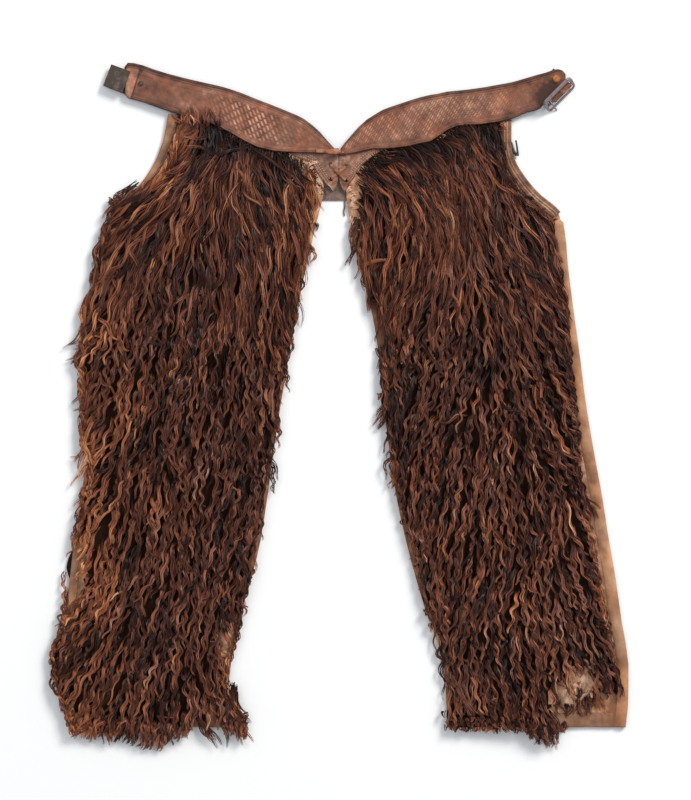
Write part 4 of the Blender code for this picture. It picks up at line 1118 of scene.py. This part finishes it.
TAB_CUT = {"left": (0.061, 0.078), "right": (0.067, 0.079)}
TOOLED_BY = (0.0022, 0.0054, 0.0086)
tab_leather = leather(
    "tab leather", (0.075, 0.032, 0.020), (0.190, 0.088, 0.056), (0.420, 0.240, 0.165), 90.0, 0.45, 0.45
)
lace_leather = leather(
    "lace leather", (0.080, 0.026, 0.012), (0.250, 0.096, 0.046), (0.460, 0.210, 0.110), 120.0, 0.5, 0.5
)
# The tooled lines are painted pale: a painted highlight along the pressed lines.
highlit = plain("rubbed tooling", (0.500, 0.330, 0.250), 0.6)
dress(["tab_left"], tab_leather)
dress(["lace_under", "lace_over", "lace_top", "lace_knot"], lace_leather)

# The right tab's upper corner is trimmed to the belt's point, which it would show behind.
whole = NODES["tab_right"].data
spots = np.array([v.co for v in whole.vertices])
point_x = np.arange(0.0014, 0.0300, 0.0010)
trim = np.interp(spots[:, 0], point_x, span("belt_right", "x", point_x)[1]) - 0.0012
spots[:, 1] = np.where(spots[:, 0] < 0.0300, np.minimum(spots[:, 1], trim), spots[:, 1])
trimmed_tab = mesh_object("trimmed_tab_right", spots, [tuple(p.vertices) for p in whole.polygons], smooth=False)
trimmed_tab.data.materials.append(tab_leather)
tabs = {"left": NODES["tab_left"], "right": trimmed_tab}
sewn(trimmed_tab, ["tab_right"])
cut = min(area_of(tabs["left"]), TAB_CUT["left"][0] * TAB_CUT["left"][1])

for side, out in SIDES.items():
    low, high = (Vector(c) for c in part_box(f"tab_{side}"))
    ys = np.arange(low.y + 0.010, high.y - 0.012, 0.0016)
    reach = span(f"tab_{side}", "y", ys)
    edge = reach[0] if out < 0 else reach[1]
    lines = [inset(list(zip(edge, ys)), out, by, high.z - 0.0001) for by in TOOLED_BY]
    middle_gap = 0.004
    lines = [[p for p in line if out * p[0] > middle_gap] for line in lines]
    lines = [line for line in lines if len(line) > 3]
    stitches(f"tab_tooling_{side}", lines, 0.0028, 0.0034, 0.0014, highlit)


# The strap loop: a dark stiff strap folded round the left end of the belt and riveted through it.

loop_leather = leather(
    "dark strap leather", (0.018, 0.013, 0.010), (0.050, 0.038, 0.031), (0.120, 0.092, 0.075), 110.0, 0.5, 0.6
)
dress(["strap_loop"], loop_leather)
LOOP_CUT = (0.033, 0.091)
cut = min(area_of(NODES["strap_loop"]), LOOP_CUT[0] * LOOP_CUT[1])


# The metal: rusty iron rivets, a dull plated buckle with rust in its corners, and a dark wire hip hook.


def worn_metal(name, metal, rust, rust_from, roughness, metallic):
    material = bpy.data.materials.new(name)
    material.use_nodes = True
    tree = material.node_tree
    add, link = tree.nodes.new, tree.links.new
    shader = tree.nodes["Principled BSDF"]
    where = add("ShaderNodeTexCoord").outputs["Object"]
    spots = add("ShaderNodeTexNoise")
    spots.inputs["Scale"].default_value = 210.0
    spots.inputs["Detail"].default_value = 5.0
    link(where, spots.inputs["Vector"])
    ramp = add("ShaderNodeValToRGB")
    stops = ramp.color_ramp.elements
    stops[0].position, stops[0].color = rust_from, (*metal, 1.0)
    stops[1].position, stops[1].color = rust_from + 0.12, (*rust, 1.0)
    link(spots.outputs["Fac"], ramp.inputs["Fac"])
    link(ramp.outputs["Color"], shader.inputs["Base Color"])
    dull = add("ShaderNodeMapRange")
    dull.inputs["From Min"].default_value = rust_from
    dull.inputs["From Max"].default_value = rust_from + 0.12
    dull.inputs["To Min"].default_value = metallic
    dull.inputs["To Max"].default_value = 0.0
    link(spots.outputs["Fac"], dull.inputs["Value"])
    link(dull.outputs["Result"], shader.inputs["Metallic"])
    rough = add("ShaderNodeMapRange")
    rough.inputs["To Min"].default_value = roughness - 0.1
    rough.inputs["To Max"].default_value = roughness + 0.3
    link(spots.outputs["Fac"], rough.inputs["Value"])
    link(rough.outputs["Result"], shader.inputs["Roughness"])
    bump = add("ShaderNodeBump")
    bump.inputs["Strength"].default_value = 0.5
    bump.inputs["Distance"].default_value = 0.0005
    link(spots.outputs["Fac"], bump.inputs["Height"])
    link(bump.outputs["Normal"], shader.inputs["Normal"])
    return material


BAR_CENTRE = Vector((0.3187, 0.4515, 0.0135))
BUCKLE_TILT = math.radians(57.0)
BAR_ALONG = Vector((1.0, 1.0, 0.0)).normalized()
BAR_OUT = Vector((1.0, -1.0, 0.0)).normalized()
FRAME_DOWN = BAR_OUT * math.cos(BUCKLE_TILT) - Vector((0, 0, 1)) * math.sin(BUCKLE_TILT)
FRAME_FACE = BAR_OUT * math.sin(BUCKLE_TILT) + Vector((0, 0, 1)) * math.cos(BUCKLE_TILT)
FRAME_LONG, FRAME_SHORT, FRAME_CORNER = 0.0512, 0.0252, 0.0055
CORNER_STEPS = 6
FRAME_SECTION = ((-1.0, -0.55), (-0.6, -0.9), (0.6, -0.9), (1.0, -0.55), (1.0, 0.5), (0.7, 0.9), (-0.7, 0.9), (-1.0, 0.5))
HALF_WIDE, HALF_THICK = 0.0029, 0.0021
LOWER_SHARE = 0.58  # how thick the lower side is beside the upper one
BAR_RADIUS = 0.0018
CHAPE_WIDER = 1.42
CHAPE_MIDDLE = 0.006  # how far along the bar from its centre the chape holds it
CHAPE_MOVED = 0.001
HOOK_PATH = (  # place and radius
    (0.2500, 0.3842, 0.0036, 0.0014), (0.2516, 0.3760, 0.0038, 0.0019), (0.2540, 0.3695, 0.0040, 0.0023),
    (0.2572, 0.3660, 0.0044, 0.0025), (0.2592, 0.3652, 0.0050, 0.0021), (0.2590, 0.3690, 0.0056, 0.0015),
    (0.2580, 0.3770, 0.0062, 0.0013), (0.2564, 0.3868, 0.0068, 0.0012),
)


def rod(name, path, radii, sides=10):
    """A round bar along a path of points."""
    path = [Vector(p) for p in path]
    across = Vector((0.3, 0.5, 0.8))
    sections = []
    for i, point in enumerate(path):
        along = (path[min(i + 1, len(path) - 1)] - path[max(i - 1, 0)]).normalized()
        across = (across - along * across.dot(along)).normalized()
        up = along.cross(across)
        turns = (2 * math.pi * k / sides for k in range(sides))
        sections.append([point + (across * math.cos(a) + up * math.sin(a)) * radii[i] for a in turns])
    return loft(name, sections)


def ring_path(long, short, corner, steps):
    """A rounded rectangle, as places along and down it."""
    found = []
    for cx, cy, start in ((1, 1, 0), (-1, 1, 90), (-1, -1, 180), (1, -1, 270)):
        for k in range(steps):
            a = math.radians(start + 90 * k / (steps - 1))
            found.append((cx * (long / 2 - corner) + corner * math.cos(a), cy * (short / 2 - corner) + corner * math.sin(a)))
    return found


dress(["loop_rivet"], worn_metal("dark rivet", (0.045, 0.036, 0.032), (0.130, 0.060, 0.035), 0.52, 0.5, 0.5))
dress(["chape_rivet"], worn_metal("rust", (0.200, 0.080, 0.030), (0.400, 0.135, 0.030), 0.42, 0.8, 0.2))
dull_plate = worn_metal("dull plate", (0.215, 0.180, 0.195), (0.150, 0.052, 0.026), 0.54, 0.40, 0.6)
dress(["buckle_tongue"], dull_plate)

path = ring_path(FRAME_LONG, FRAME_SHORT, FRAME_CORNER, CORNER_STEPS)
sections = []
for i, (x, y) in enumerate(path):
    before, after = Vector(path[i - 1]), Vector(path[(i + 1) % len(path)])
    along = (after - before).normalized()
    outward = BAR_ALONG * along.y - FRAME_DOWN * along.x
    share = 1 + (LOWER_SHARE - 1) * float(smoothstep(-FRAME_SHORT / 2, FRAME_SHORT / 2, y))
    middle = BAR_CENTRE + BAR_ALONG * x + FRAME_DOWN * y
    sections.append([
        middle + outward * (w * HALF_WIDE * share) + FRAME_FACE * (t * HALF_THICK * share) for w, t in FRAME_SECTION
    ])
buckle = loft("cast_buckle_frame", sections, ring=True)
half_bar = BAR_ALONG * (FRAME_LONG / 2)
pin = rod("buckle_bar", [BAR_CENTRE - half_bar, BAR_CENTRE, BAR_CENTRE + half_bar], [BAR_RADIUS] * 3)
for piece in (buckle, pin):
    piece.data.materials.append(dull_plate)
    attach(piece, "buckle")
    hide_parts("buckle_frame")

hook = rod("wire_hook", [p[:3] for p in HOOK_PATH], [p[3] for p in HOOK_PATH])
hook.data.materials.append(worn_metal("dark iron", (0.030, 0.032, 0.032), (0.080, 0.045, 0.030), 0.62, 0.5, 0.6))
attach(hook, "garment")
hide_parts("hip_hook")


# The chape: a short strap round the buckle's bar, dark and stained with rust, its ends riveted under the belt.

chape_leather = leather(
    "rusty strap leather", (0.045, 0.018, 0.010), (0.130, 0.050, 0.026), (0.330, 0.130, 0.055), 130.0, 0.55, 0.5
)
held = NODES["chape"]
points = []
for vertex in held.data.vertices:
    place = held.matrix_world @ vertex.co
    aside = (place - BAR_CENTRE).dot(BAR_ALONG) - CHAPE_MIDDLE
    points.append(place + BAR_ALONG * (aside * (CHAPE_WIDER - 1) - CHAPE_MOVED))
chape = mesh_object("wide_chape", points, [tuple(p.vertices) for p in held.data.polygons], smooth=False)
chape.data.materials.append(chape_leather)
sewn(chape, ["chape"])
